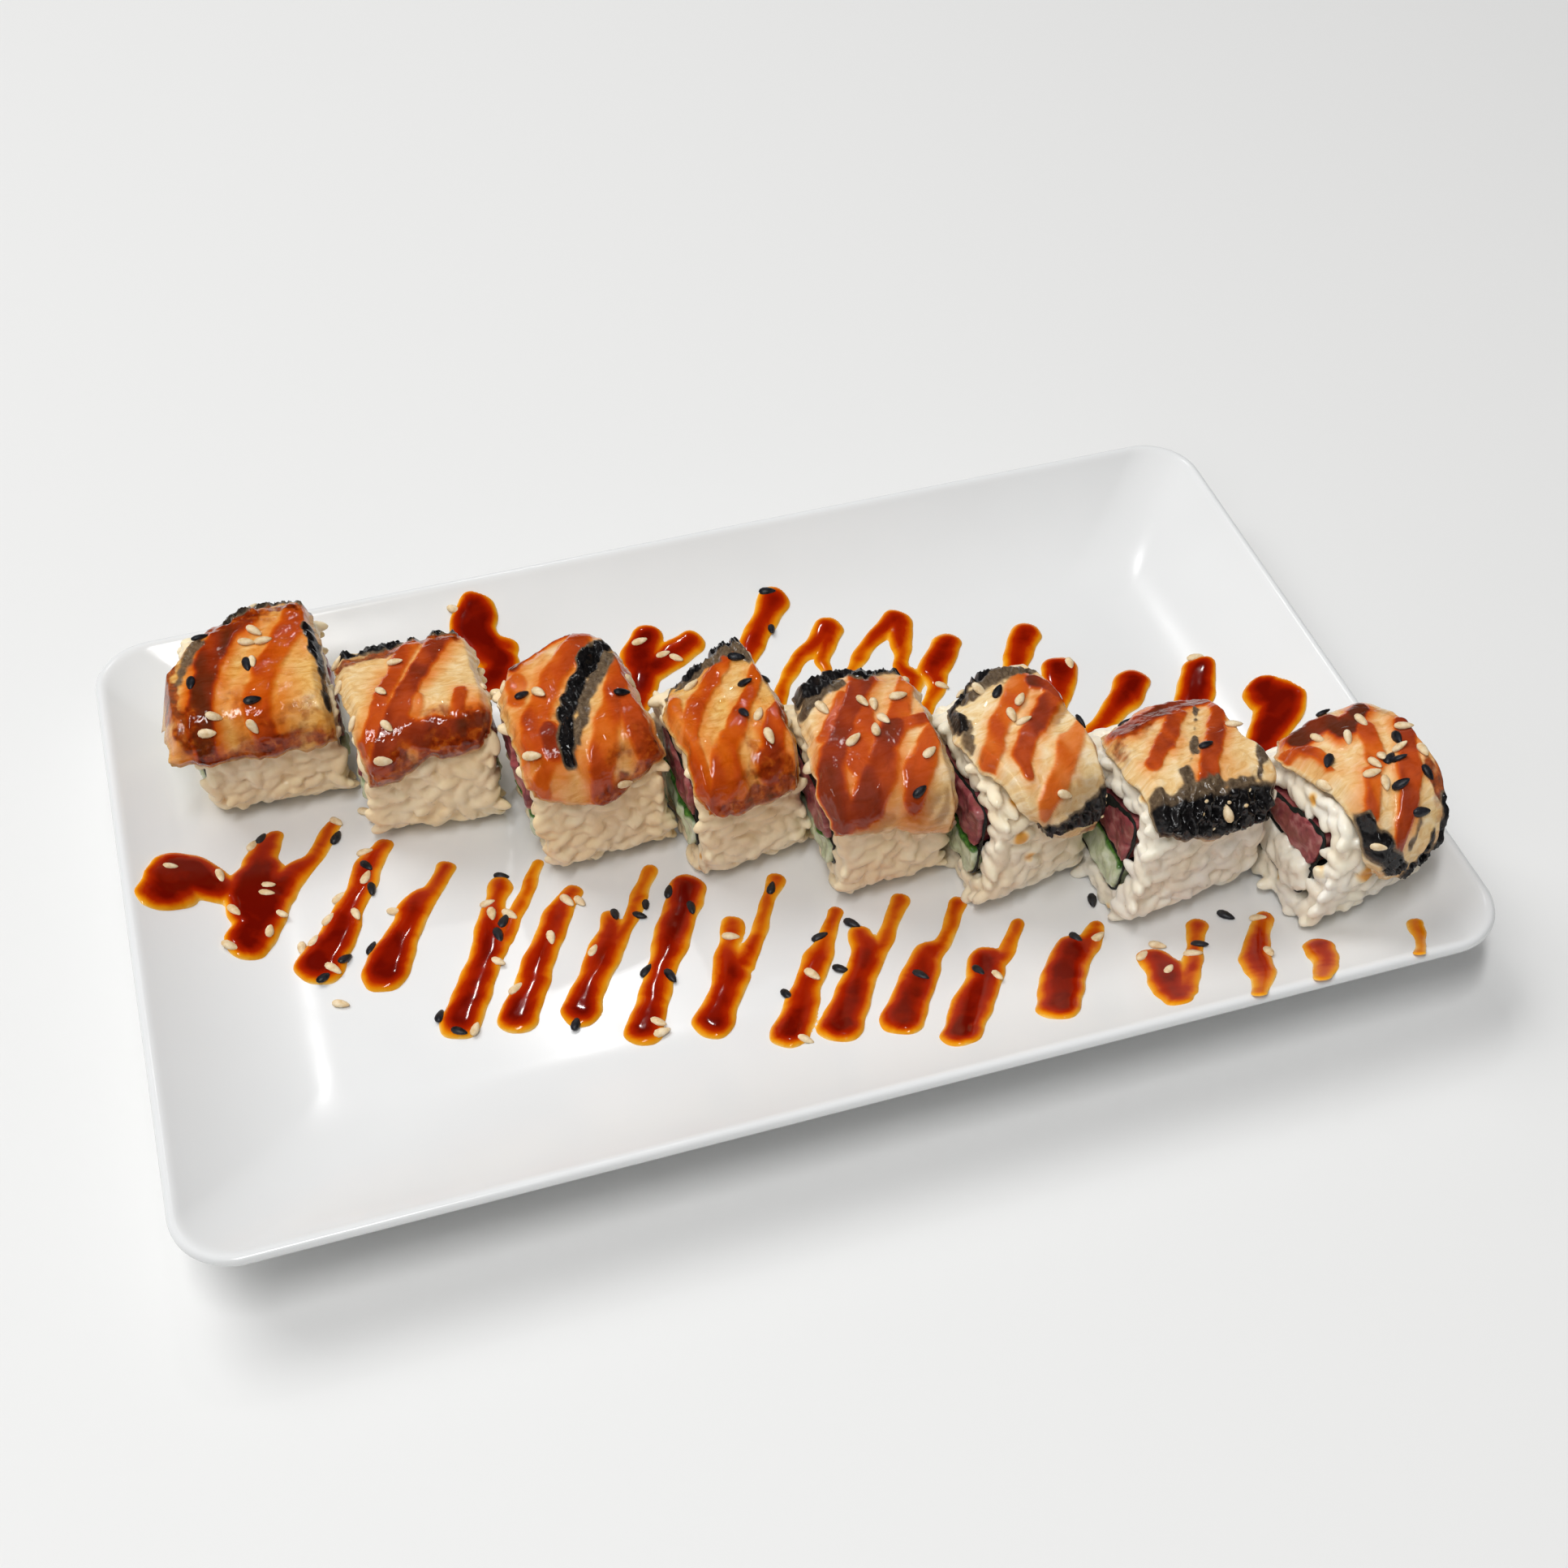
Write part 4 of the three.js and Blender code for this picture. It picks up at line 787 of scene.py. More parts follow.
def roasted_seaweed():
    # roasted seaweed softened by the rice: green-black, crinkled, half-matt
    material, tree = new_material("roasted_seaweed")
    crinkle = object_noise(tree, 1.2, detail=5, rough=0.65)
    finish_material(tree, {
        "Base Color": ramp(tree, crinkle, [(0.3, "090C0B"), (0.7, "1E2622")]), "Roughness": 0.42,
        "IOR": 1.45, "Normal": bump(tree, crinkle, 0.2),
    })
    return material


def raw_tuna():
    # lean tuna gone dark at the cut: purple-red to brown, moist, with faint long fibres
    material, tree = new_material("raw_tuna")
    fibre = object_noise(tree, 2.6, detail=4, stretch=(0.4, 1, 1.6), warp=0.6)
    blot = object_noise(tree, 6, detail=2)
    colour = ramp(tree, fibre, [(0.3, "6A2C34"), (0.5, "94484C"), (0.72, "B47A76")])
    colour = blend(tree, spread(tree, blot, 0.5, 0.75, 0, 0.7), colour, linear("8A5444"))
    finish_material(tree, {
        "Base Color": colour, "Roughness": 0.3, "IOR": 1.4, "Coat Weight": 0.3, "Coat Roughness": 0.12,
        "Subsurface Weight": 0.2, "Subsurface Radius": (1, 0.3, 0.25), "Subsurface Scale": 0.002,
        "Normal": bump(tree, fibre, 0.25),
    })
    return material


def fresh_cucumber():
    # cucumber stick: watery pale green flesh, bright green skin on its upper side
    material, tree = new_material("fresh_cucumber")
    flesh = object_noise(tree, 2.2, detail=4, warp=0.5)
    colour = ramp(tree, flesh, [(0.3, "B9C69C"), (0.55, "D3DDBE"), (0.75, "E6ECD9")])
    skin = attribute(tree, "skin")
    green = ramp(tree, object_noise(tree, 1.0, detail=3), [(0.35, "2F5A22"), (0.7, "5E8F3B")])
    colour = blend(tree, spread(tree, skin, 0.55, 0.95), colour, green)
    finish_material(tree, {
        "Base Color": colour, "Roughness": 0.25, "IOR": 1.36, "Coat Weight": 0.4, "Coat Roughness": 0.08,
        "Subsurface Weight": 0.35, "Subsurface Radius": (0.8, 1, 0.5), "Subsurface Scale": 0.003,
        "Normal": bump(tree, flesh, 0.3),
    })
    return material


def grilled_eel():
    # grilled eel fillet: flaky cream flesh, browned edges, black skin, all under a soy glaze
    material, tree = new_material("grilled_eel")
    surface = add(tree, "ShaderNodeUVMap", uv_map="flesh").outputs[0]
    flake_place = add(tree, "ShaderNodeMapping", {"Vector": surface, "Scale": (0.28, 0.75, 1)}).outputs[0]
    flakes = add(tree, "ShaderNodeTexNoise", {
        "Vector": flake_place, "Scale": 1.0, "Detail": 5.0, "Roughness": 0.6, "Distortion": 0.8,
    }).outputs["Fac"]
    fine = object_noise(tree, 0.7, detail=4, rough=0.6)
    white = attribute(tree, "white")
    golden = ramp(tree, flakes, [(0.25, "C07F34"), (0.42, "D89C48"), (0.6, "E8B96A"), (0.8, "F1D192")])
    creamy = ramp(tree, flakes, [(0.25, "DDB278"), (0.45, "EFD29C"), (0.7, "FAEBCB")])
    colour = blend(tree, white, golden, creamy)
    grill = attribute(tree, "grill")
    patches = spread(tree, object_noise(tree, 2.6, detail=3), 0.3, 0.7, -0.2, 0.2)
    patchy = combined(tree, "ADD", grill, patches)
    mottle = object_noise(tree, 2.0, detail=4, rough=0.55, warp=0.4)
    browned = ramp(tree, mottle, [(0.3, "480F04"), (0.5, "8A2E08"), (0.7, "C0601A")])
    brown = attribute(tree, "brown")
    colour = blend(tree, spread(tree, brown, 0.0, 1.0, 0, 0.8), colour, linear("7A4A22"))
    glaze = attribute(tree, "glaze")
    tint = ramp(tree, glaze, [
        (0.0, "FBCF74"), (0.2, "F29C1C"), (0.4, "E27402"), (0.58, "C24800"), (0.75, "8E2000"),
        (0.95, "540A00"),
    ])
    under = blend(tree, 0.55, tint, colour, "MULTIPLY")
    glazed = blend(tree, spread(tree, glaze, 0.0, 0.5, 0.0, 0.96), colour, under)
    glazed = blend(tree, spread(tree, patchy, 0.15, 0.85, 0, 0.92), glazed, browned)
    skin = attribute(tree, "skin")
    scales = object_noise(tree, 0.9, detail=5, rough=0.7)
    grey = ramp(tree, scales, [(0.3, "4A3A2C"), (0.6, "75624C"), (0.8, "9C8A6E")])
    black = ramp(tree, scales, [(0.35, "0B0B0D"), (0.65, "211E1E"), (0.85, "3C3734")])
    hide = blend(tree, spread(tree, skin, 0.5, 0.85), grey, black)
    colour = blend(tree, spread(tree, skin, 0.08, 0.5), glazed, hide)
    shine = spread(tree, glaze, 0.05, 0.4, 0.26, 0.05)
    shine = combined(tree, "ADD", shine, spread(tree, skin, 0.3, 0.8, 0.0, 0.06))
    flat = spread(tree, glaze, 0.1, 0.5, 1.0, 0.12)
    rough_flesh = bump(tree, combined(tree, "MULTIPLY", flakes, flat), 0.28)
    pores = bump(tree, combined(tree, "MULTIPLY", fine, flat), 0.08, normal=rough_flesh)
    runs = object_noise(tree, 3.2, detail=2, warp=0.5)
    runs = combined(tree, "MULTIPLY", runs, spread(tree, glaze, 0.1, 0.5))
    runs = bump(tree, runs, 0.5, normal=pores)
    finish_material(tree, {
        "Base Color": colour, "Roughness": shine, "IOR": 1.42, "Specular IOR Level": 0.4,
        "Coat Weight": 0.22, "Coat Roughness": 0.03, "Normal": runs,
    })
    return material


def studio_floor():
    # matt white studio sweep: plain and pale
    material, tree = new_material("studio_floor")
    finish_material(tree, {
        "Base Color": ramp(tree, object_noise(tree, 900, detail=1), [(0.3, "E7E7E6"), (0.7, "EAEAE9")]),
        "Roughness": 0.8, "Specular IOR Level": 0.2,
    })
    return material


# ---------------------------------------------------------------------- plate
def plate_top(x, y):
    """Height of the plate's upper surface."""
    ax, ay = np.abs(x), np.abs(y)
    inset = np.minimum(LIP_LONG - ax, LIP_WIDE - ay)
    cx, cy = ax - (LIP_LONG - LIP_CORNER), ay - (LIP_WIDE - LIP_CORNER)
    root = (cx + cy) ** 2 - 2 * (cx * cx + cy * cy - LIP_CORNER ** 2)
    turned = (np.sqrt(np.maximum(root, 0)) - cx - cy) / 2
    inset = np.where((cx + inset > 0) & (cy + inset > 0), turned, inset)
    return FLOOR + WALL_RISE * np.maximum(0, 1 - inset / WALL_WIDE) ** 2


def contour(inset):
    """Points round the plate on the rounded rectangle a distance inside the lip line."""
    angle = np.concatenate([np.linspace(q, q + 1, CORNER_STEPS + 1) for q in range(4)]) * math.pi / 2
    quarter = np.repeat(np.arange(4), CORNER_STEPS + 1)
    radius, inward = LIP_CORNER + max(0, -inset), max(0, inset)
    sx, sy = np.where((quarter == 0) | (quarter == 3), 1, -1), np.where(quarter < 2, 1, -1)
    return np.column_stack([
        sx * (LIP_LONG - LIP_CORNER - inward) + radius * np.cos(angle),
        sy * (LIP_WIDE - LIP_CORNER - inward) + radius * np.sin(angle),
    ])


def build_plate(material):
    wall = [(d, FLOOR + WALL_RISE * (1 - d / WALL_WIDE) ** 2) for d in np.linspace(WALL_WIDE, 2.2, 26)]
    bm = bmesh.new()
    bmesh.ops.create_circle(bm, segments=4 * (CORNER_STEPS + 1), radius=1)
    ring, edges = list(bm.verts), list(bm.edges)
    rings = [*wall, *LIP_PROFILE, *UNDER_PROFILE]
    for number, (inset, height) in enumerate(rings):
        if number:
            ring, edges = next_ring(bm, edges)
        ring = sorted(ring, key=lambda v: math.atan2(v.co.y, v.co.x))
        line = contour(inset)
        line = line[np.argsort(np.arctan2(line[:, 1], line[:, 0]), kind="stable")]
        for vert, (x, y) in zip(ring, line):
            vert.co = (x * MM, y * MM, height * MM)
    bmesh.ops.holes_fill(bm, edges=bm.edges)
    bmesh.ops.recalc_face_normals(bm, faces=bm.faces)
    return belong(mesh_object("plate_porcelain", bm), "porcelain", material, "plate")


# ---------------------------------------------------------------------- sauce
def drip_line(stations):
    """Dense points x, y, half width along the smooth curve through a drip's stations."""
    p = np.array(stations, float)
    p = np.vstack([2 * p[0] - p[1], p, 2 * p[-1] - p[-2]])
    out = []
    for a, b, c, d in zip(p, p[1:], p[2:], p[3:]):
        t = np.linspace(0, 1, 16, endpoint=False)[:, None]
        square, cube = 2 * a - 5 * b + 4 * c - d, 3 * b - a - 3 * c + d
        out.append(0.5 * (2 * b + (c - a) * t + square * t ** 2 + cube * t ** 3))
    return np.vstack([*out, p[-2:-1]])


def sauce_depth(points, lines):
    """How far points lie inside the sauce's edge, and the width of the drip there."""
    inside = np.full(len(points), -9.0)
    width = np.full(len(points), 1.0)
    for line in lines:
        low, high = line[:, :2].min(0) - 8, line[:, :2].max(0) + 8
        near = np.where(((points > low) & (points < high)).all(1))[0]
        if not len(near):
            continue
        gap = line[None, :, 2] - np.linalg.norm(points[near, None, :] - line[None, :, :2], axis=2)
        best = gap.argmax(1)
        here = gap.max(1)
        heavy = 1 / (1 + np.exp(-(here - inside[near]) * 2.5))
        width[near] = mix(width[near], line[best, 2], heavy)
        soft = np.maximum(0.7 - np.abs(here - inside[near]), 0) / 0.7
        inside[near] = np.maximum(here, inside[near]) + soft ** 3 * 0.7 / 6
    return inside, width


def rim_share(inside, width):
    """How far a point lies across the sauce's rounded rim, 0 at the edge and 1 past it."""
    return np.clip(inside / np.clip(width, 0.4, 3.4), 0, 1)


def sauce_height(inside, width):
    full = np.minimum(SAUCE_HIGH, 0.12 + 0.27 * width)
    k = rim_share(inside, width)
    return full * np.sqrt(1 - (1 - k) ** 2)


def build_sauce(name, drips, material, seed):
    """A film of sauce with rounded rims that lies on the plate, open underneath."""
    lines = [drip_line(stations) for stations in drips]
    whole = np.vstack(lines)
    low, high = whole[:, :2].min(0) - 6, whole[:, :2].max(0) + 6
    across_x, across_y = [int(n) for n in (high - low) / SAUCE_CELL]
    bm = bmesh.new()
    bmesh.ops.create_grid(bm, x_segments=across_x, y_segments=across_y, size=1)
    grid = np.array([v.co[:2] for v in bm.verts])
    grid = low + (grid + 1) / 2 * (high - low)
    wave = grid[:, ::-1] * (0.55, 0.48) + seed
    wavy = grid + 0.22 * (np.sin(wave) + 0.5 * np.sin(wave * 2.3))
    inside, width = sauce_depth(wavy, lines)
    slope = np.column_stack([
        sauce_depth(wavy + (0.05, 0), lines)[0] - inside, sauce_depth(wavy + (0, 0.05), lines)[0] - inside,
    ]) / 0.05
    out = inside < 0
    grid[out] += slope[out] * np.minimum(-inside[out], 1.0)[:, None]
    height = sauce_height(inside, width)
    z = plate_top(grid[:, 0], grid[:, 1]) + np.where(out, -0.03, height)
    film = bm.verts.layers.float.new("film")
    deep = 1 - (1 - rim_share(inside, width)) ** 1.7
    shade = deep * np.clip(0.08 + 0.225 * width, 0, 1)
    for vert, (x, y), up, tint in zip(bm.verts, grid, z, shade):
        vert.co = (x * MM, y * MM, up * MM)
        vert[film] = tint
    dry = [v for v, o in zip(bm.verts, out) if o]
    gone = set(dry)
    bmesh.ops.delete(bm, geom=[f for f in bm.faces if all(v in gone for v in f.verts)], context="FACES")
    return belong(mesh_object(name, bm), "porcelain", material, "plate")


# ---------------------------------------------------------------------- slices
class Slice:
    """Shape of one slice: its axes, its cross section and the roof the eel lies on."""

    def __init__(self, data):
        self.__dict__.update(data)
        near_left, near_right, far_right, far_left = [np.array(p, float) for p in self.foot]
        self.corners = near_left, near_right, far_right, far_left
        self.thick = np.hypot(*(near_right - near_left))
        self.deep = np.hypot(*((far_left + far_right) / 2 - (near_left + near_right) / 2))
        self.axis = (near_right - near_left) / self.thick

    def place(self, a, y, z):
        """a from -1 at the left cut face to 1 at the right, y from the near side, z up."""
        near_left, near_right, far_right, far_left = self.corners
        t, k = ((a + 1) / 2)[:, None], (y / self.deep)[:, None]
        ground = mix(mix(near_left, near_right, t), mix(far_left, far_right, t), k)
        shift = mix(self.lean[0], self.lean[1], t[:, 0]) * z
        base = FLOOR + mix(self.lift[0], self.lift[1], t[:, 0])
        return np.column_stack([ground + self.axis * shift[:, None], base + z])

    def outline(self, inside, count):
        """Evenly spaced y, z round the section drawn in by a distance, with outward y, z."""
        r = ROUND - inside if inside < 3 else max(TUNNEL_ROUND - (inside - RICE_RING), 0.8)
        near, far = self.tall[0] - inside, self.tall[1] - inside
        y0, y1, z0 = inside, self.deep - inside, inside
        arcs = [
            ((y1 - r, z0 + r), -0.5), ((y1 - r, far - r), 0.0),
            ((y0 + r, near - r), 0.5), ((y0 + r, z0 + r), 1.0),
        ]
        rim = []
        for (cy, cz), start in arcs:
            turn = (start + np.linspace(0, 0.5, 9)) * math.pi
            rim += [(cy + r * math.cos(t), cz + r * math.sin(t)) for t in turn]
        rim = np.array([*rim, rim[0]])
        run = np.concatenate([[0], np.cumsum(np.hypot(*np.diff(rim, axis=0).T))])
        spots = np.linspace(0, run[-1], count, endpoint=False)
        line = np.column_stack([np.interp(spots, run, rim[:, i]) for i in (0, 1)])
        step = np.roll(line, -1, 0) - np.roll(line, 1, 0)
        step /= np.linalg.norm(step, axis=1)[:, None]
        return line, np.column_stack([step[:, 1], -step[:, 0]])

    def roof(self, s, out):
        """y, z at a length from the far corner over the top and down the front."""
        arc, flat, reach = math.pi / 2 * ROUND, self.deep - 2 * ROUND, ROUND + out
        near, far = self.tall
        first = np.clip(s, -9, arc) / ROUND
        k = np.clip((s - arc) / flat, 0, 1)
        last = np.clip((s - arc - flat) / ROUND, 0, math.pi / 2)
        down = np.maximum(0, s - 2 * arc - flat)
        y = np.where(s < arc, self.deep - ROUND + reach * np.cos(first), mix(self.deep - ROUND, ROUND, k))
        y = np.where(s > arc + flat, ROUND - reach * np.sin(last), y)
        z = np.where(s < arc, far - ROUND + reach * np.sin(first), mix(far, near, k) + out)
        z = np.where(s > arc + flat, near - ROUND + reach * np.cos(last) - down, z)
        return y, z

    def eel(self, a, s, w, up):
        """Point of the eel's surface a height over its underside."""
        y, z = self.roof(s, EEL_GAP + up)
        at, along_at, high = self.peak
        mound = high * np.exp(-((a - at) / 0.7) ** 2 - ((w - along_at) / 0.3) ** 2)
        z = z + mound * (0.35 + 0.65 * np.clip(up / EEL_THICK, 0, 1))
        hang = self.droop * np.maximum(0, (-1.2 - a) / 0.18) * np.minimum(1, 2 * (1 - w))
        return self.place(a, y, z - hang)


def stroke(x, s, line, ragged):
    """Mask of a stroke through x, s, half width points, and a soft halo round it."""
    best, deep = np.full(len(x), -9.0), np.full(len(x), -9.0)
    for p, q in zip(line, line[1:] if len(line) > 1 else line):
        p, q = np.array(p), np.array(q)
        d = q[:2] - p[:2]
        t = np.clip(((x - p[0]) * d[0] + (s - p[1]) * d[1]) / max(d @ d, 1e-6), 0, 1)
        reach = mix(p[2], q[2], t)
        gap = reach - np.hypot(x - p[0] - d[0] * t, s - p[1] - d[1] * t)
        best = np.maximum(best, gap)
        deep = np.maximum(deep, (gap + ragged + 0.5) / (0.7 * reach + 0.5))
    return smooth(deep), smooth((best + ragged + 3.6) / 4.8)


def build_eel(number, slice_, material):
    nx, ns = 84, 112
    bm = bmesh.new()
    bmesh.ops.create_grid(bm, x_segments=nx, y_segments=ns, size=1)
    bmesh.ops.extrude_face_region(bm, geom=bm.faces[:], use_keep_orig=True)
    top_count = (nx + 1) * (ns + 1)
    bm.verts.ensure_lookup_table()
    for vert in bm.verts[top_count:]:
        vert.co.z = -1
    walls = [e for e in bm.edges if abs(e.verts[0].co.z - e.verts[1].co.z) > 0.5]
    bmesh.ops.subdivide_edges(bm, edges=walls, cuts=2)
    thing = mesh_object(f"eel_fillet_{number}", bm)
    mesh = thing.data
    c, y, level = coordinates(mesh).T
    w = (y + 1) / 2
    a = mix(along(slice_.left, w), along(slice_.right, w), (c + 1) / 2)
    s = mix(across(slice_.far, c), across(slice_.near, c), w)
    half = slice_.thick / 2
    x = a * half
    flat_place = np.column_stack([x, s, np.full(len(x), number * 40.0)])
    ragged = wobble(flat_place, 4.5, 3, 3)
    torn = wobble(flat_place * (1, 1, 0) + (0, 0, number * 17.0), 5.0, 8, 3)
    rim_c, rim_w = np.abs(c) ** 6, np.abs(2 * w - 1) ** 8
    corner = np.abs(c) ** 5 * np.abs(2 * w - 1) ** 5
    x = x + (torn * rim_c - 0.7 * corner) * np.sign(c)
    s = s + (torn * 1.2 * rim_w - 0.8 * corner) * np.sign(w - 0.5)

    layers = {kind: np.zeros(len(x)) for kind in ("glaze", "skin", "grill", "brown")}
    for kind, value, line in EEL_MARKS[number]:
        mask, halo = stroke(x, s, line, ragged * RAGGED[kind] + WIDER[kind])
        name = "skin" if kind == "grey" else kind
        halo = halo * HALO[kind]
        layers[name] = np.maximum(layers[name], np.maximum(mask, halo) * value)
    patches = wobble(flat_place * (1, 0.6, 1), 6.0, 21, 2)
    wash = WASH[number] * (smooth(0.5 + patches) * 0.8 + 0.7 * smooth((w - 0.55) / 0.45))
    layers["glaze"] = np.clip(layers["glaze"] * (1 + 0.25 * patches) + wash * (1 - layers["glaze"]), 0, 1)
    side = level < -0.01
    span = np.maximum(along(slice_.right, w) - along(slice_.left, w), 0.1) * half
    e = np.minimum((1 - np.abs(c)) * span / 2, np.minimum(w, 1 - w) * (slice_.near[1] - slice_.far[1]))
    round_off = np.sqrt(1 - (1 - np.clip(e / 1.5, 0, 1)) ** 2)
    taper = np.minimum(1, 3 * np.minimum(w, 1 - w) + 0.45) * np.minimum(1, 4 * (1 - np.abs(c)) + 0.6)
    bead = smooth(layers["glaze"] * 1.3) * (0.8 + 0.1 * wobble(flat_place, 6.0, 5, 2))
    crumple = 1.3 - np.abs(wobble(flat_place, 3.0, 9, 3)) * 3.5
    crust = layers["grill"] * 0.25 * wobble(flat_place, 1.6, 11, 2)
    rough = layers["skin"] * (0.7 + 0.5 * rim_w) * crumple + crust
    swell = 0.4 * wobble(flat_place, 9, 13, 1)
    up = EEL_THICK * taper * (0.62 + 0.38 * round_off) + (bead + rough + swell) * round_off
    step = -level
    up = up * (1 - step)
    out = 0.5 * np.sin(step * math.pi) + 0.15 * (step > 0.01)
    x = x + out * np.sign(c) * (np.abs(c) > 0.999)
    s = s + out * np.sign(w - 0.5) * (np.abs(2 * w - 1) > 0.999)
    points = slice_.eel(x / half, s, w, up)
    move_points(mesh, points * MM)
    keep = np.where(side, 0.25, 1.0)
    store(mesh, "glaze", layers["glaze"] * keep)
    store(mesh, "skin", layers["skin"] * np.where(side, 0.4, 1.0))
    store(mesh, "grill", np.maximum(layers["grill"] * keep, 0.25 * side))
    store(mesh, "brown", layers["brown"] * keep)
    store(mesh, "white", np.clip(FLESH_WHITE[number] + 0.25 * ragged, 0, 1))
    uv = mesh.uv_layers.new(name="flesh")
    corner = np.empty(len(mesh.loops), dtype=int)
    mesh.loops.foreach_get("vertex_index", corner)
    uv.data.foreach_set("uv", np.column_stack([x, s])[corner].ravel())
    bm = bmesh.new()
    bm.from_mesh(mesh)
    bmesh.ops.recalc_face_normals(bm, faces=bm.faces)
    bm.to_mesh(mesh)
    bm.free()
    belong(thing, "glazed_eel", material, f"eel_{number}")
    upper = ~side
    normals = np.array([v.normal[:] for v in mesh.vertices])
    return x[upper], s[upper], points[upper], normals[upper]


def grain_spots(slice_, rng):
    """Centres and outward directions of the rice grains that show on a slice."""
    rim, out = slice_.outline(0.0, 720)
    ring, ring_out = slice_.outline(RICE_RING, 720)
    spots = []
    for _ in range(5200):
        i = rng.randrange(720)
        if rng.random() < 0.6:
            y, z = rim[i] - out[i] * rng.uniform(0.75, 1.5)
            a, facing = rng.uniform(-0.96, 0.96), (0.0, *out[i])
        else:
            k = rng.uniform(0.15, 1.0)
            y, z = mix(rim[i] - out[i] * 1.1, ring[i] + ring_out[i] * 0.7, k)
            side = rng.choice((-1, 1))
            a = side * (1 - rng.uniform(0.7, 1.6) / (slice_.thick / 2))
            facing = (side, 0.0, 0.0)
        spots.append((a, y, z, *facing))
    spots = np.array(spots)
    centre = slice_.place(spots[:, 0], spots[:, 1], spots[:, 2])
    turned = np.array([[*slice_.axis, 0], [-slice_.axis[1], slice_.axis[0], 0], [0, 0, 1]])
    outward = spots[:, 3:] @ turned
    kept = []
    for i in range(len(centre)):
        if not kept or (np.linalg.norm(centre[kept] - centre[i], axis=1) > GRAIN_SPACING).all():
            kept.append(i)
    return centre[kept], outward[kept]


def scattered(base, places):
    """One mesh of many copies of a base shape, each under its own 4x4 matrix."""
    verts, faces = base
    matrices = np.array([np.array(m) for m in places])
    padded = np.column_stack([verts, np.ones(len(verts))])
    moved = (matrices @ padded.T).transpose(0, 2, 1)[:, :, :3].reshape(-1, 3)
    sheets = []
    for row in faces:
        sheets.append(np.array(row)[None, :] + np.arange(len(places))[:, None] * len(verts))
    mesh = bpy.data.meshes.new("scattered")
    mesh.from_pydata(moved.tolist(), [], [tuple(f) for sheet in sheets for f in sheet.tolist()])
    return mesh


def base_shape(segments, rings, size, taper=0.0, bend=0.0):
    """Small ellipsoid along X as vertices and faces; one end tapers, the middle bends."""
    bm = bmesh.new()
    bmesh.ops.create_uvsphere(bm, u_segments=segments, v_segments=rings, radius=0.5)
    bmesh.ops.rotate(bm, verts=bm.verts, matrix=Matrix.Rotation(math.pi / 2, 3, "Y"))
    verts = np.array([v.co[:] for v in bm.verts])
    narrow = 1 - taper * (verts[:, 0:1] + 0.5) ** 1.5
    verts = verts * (1, 0, 0) + verts * narrow * (0, 1, 1)
    verts *= size
    verts[:, 1] += bend * (1 - (verts[:, 0] / size[0] * 2) ** 2)
    faces = [[v.index for v in f.verts] for f in bm.faces]
    bm.free()
    return verts, faces


def frame_at(centre, out, angle, tilt=0.0, scale=1.0, along_x=(1, 0, 0)):
    """Matrix in metres whose Z is outward and whose X lies in the surface at an angle."""
    z = Vector(out).normalized()
    x = Vector(along_x) - z * z.dot(Vector(along_x))
    if x.length < 0.3 * Vector(along_x).length:
        x = Vector((0, 1, 0)) - z * z.y
    x = Matrix.Rotation(angle, 3, z) @ x.normalized()
    basis = Matrix((x, z.cross(x), z)).transposed() @ Matrix.Rotation(tilt, 3, "Y")
    matrix = (basis * (scale * MM)).to_4x4()
    matrix.translation = Vector(centre) * MM
    return matrix


def build_rice(number, slice_, material):
    """Grains of rice over a core that lies a little inside them, fused into one skin."""
    rng = random.Random(500 + number)
    centres, outward = grain_spots(slice_, rng)
    long = [(GRAIN["long"] * k, GRAIN["wide"], GRAIN["thick"]) for k in (0.92, 1.0, 1.1)]
    pool = [base_shape(10, 7, size, taper=0.18, bend=bend) for size, bend in zip(long, (0.25, 0.0, 0.4))]
    places = [[], [], []]
    for p, n in zip(centres, outward):
        angle = rng.gauss(0, 0.9)
        kind = rng.randrange(3)
        places[kind].append(frame_at(p, n, angle, rng.gauss(0, 0.24), rng.uniform(0.86, 1.06)))
    bm = node_copy(f"rice_{number}")
    bm.normal_update()
    for vert in bm.verts:
        vert.co -= vert.normal * CORE_INSET * MM
    for shape, spots in zip(pool, places):
        bm.from_mesh(scattered(shape, spots))
    thing = mesh_object(f"rice_grains_{number}", bm)
    fused(thing, RICE_VOXEL, 1)
    points = coordinates(thing.data) / MM
    points[:, 2] = np.maximum(points[:, 2], plate_top(points[:, 0], points[:, 1]) + 0.06)
    move_points(thing.data, points * MM)
    # painted warm bounce light from the glaze, mixed with seeped-in glaze, over the whole slice; then the
    # real glaze runs
    amount = np.clip(RICE_SOAK_AND_BOUNCE[number] + 0.05 * wobble(points, 9.0, number, 2), 0, 1)
    for x, y, z, reach, value in RICE_STAINS.get(number, ()):
        d = np.linalg.norm(points - (x, y, z), axis=1)
        amount = np.maximum(amount, value * smooth(1.2 - d / reach))
    store(thing.data, "stain_and_bounce", amount)
    return belong(thing, "rice", material, f"rice_{number}")


def seaweed_sheet(name, bm):
    """The surface given its thickness, half to each side."""
    thing = mesh_object(name, bm)
    shell = thing.modifiers.new("sheet", "SOLIDIFY")
    shell.thickness, shell.offset = SEAWEED_THICK * MM, 0
    return applied(thing)


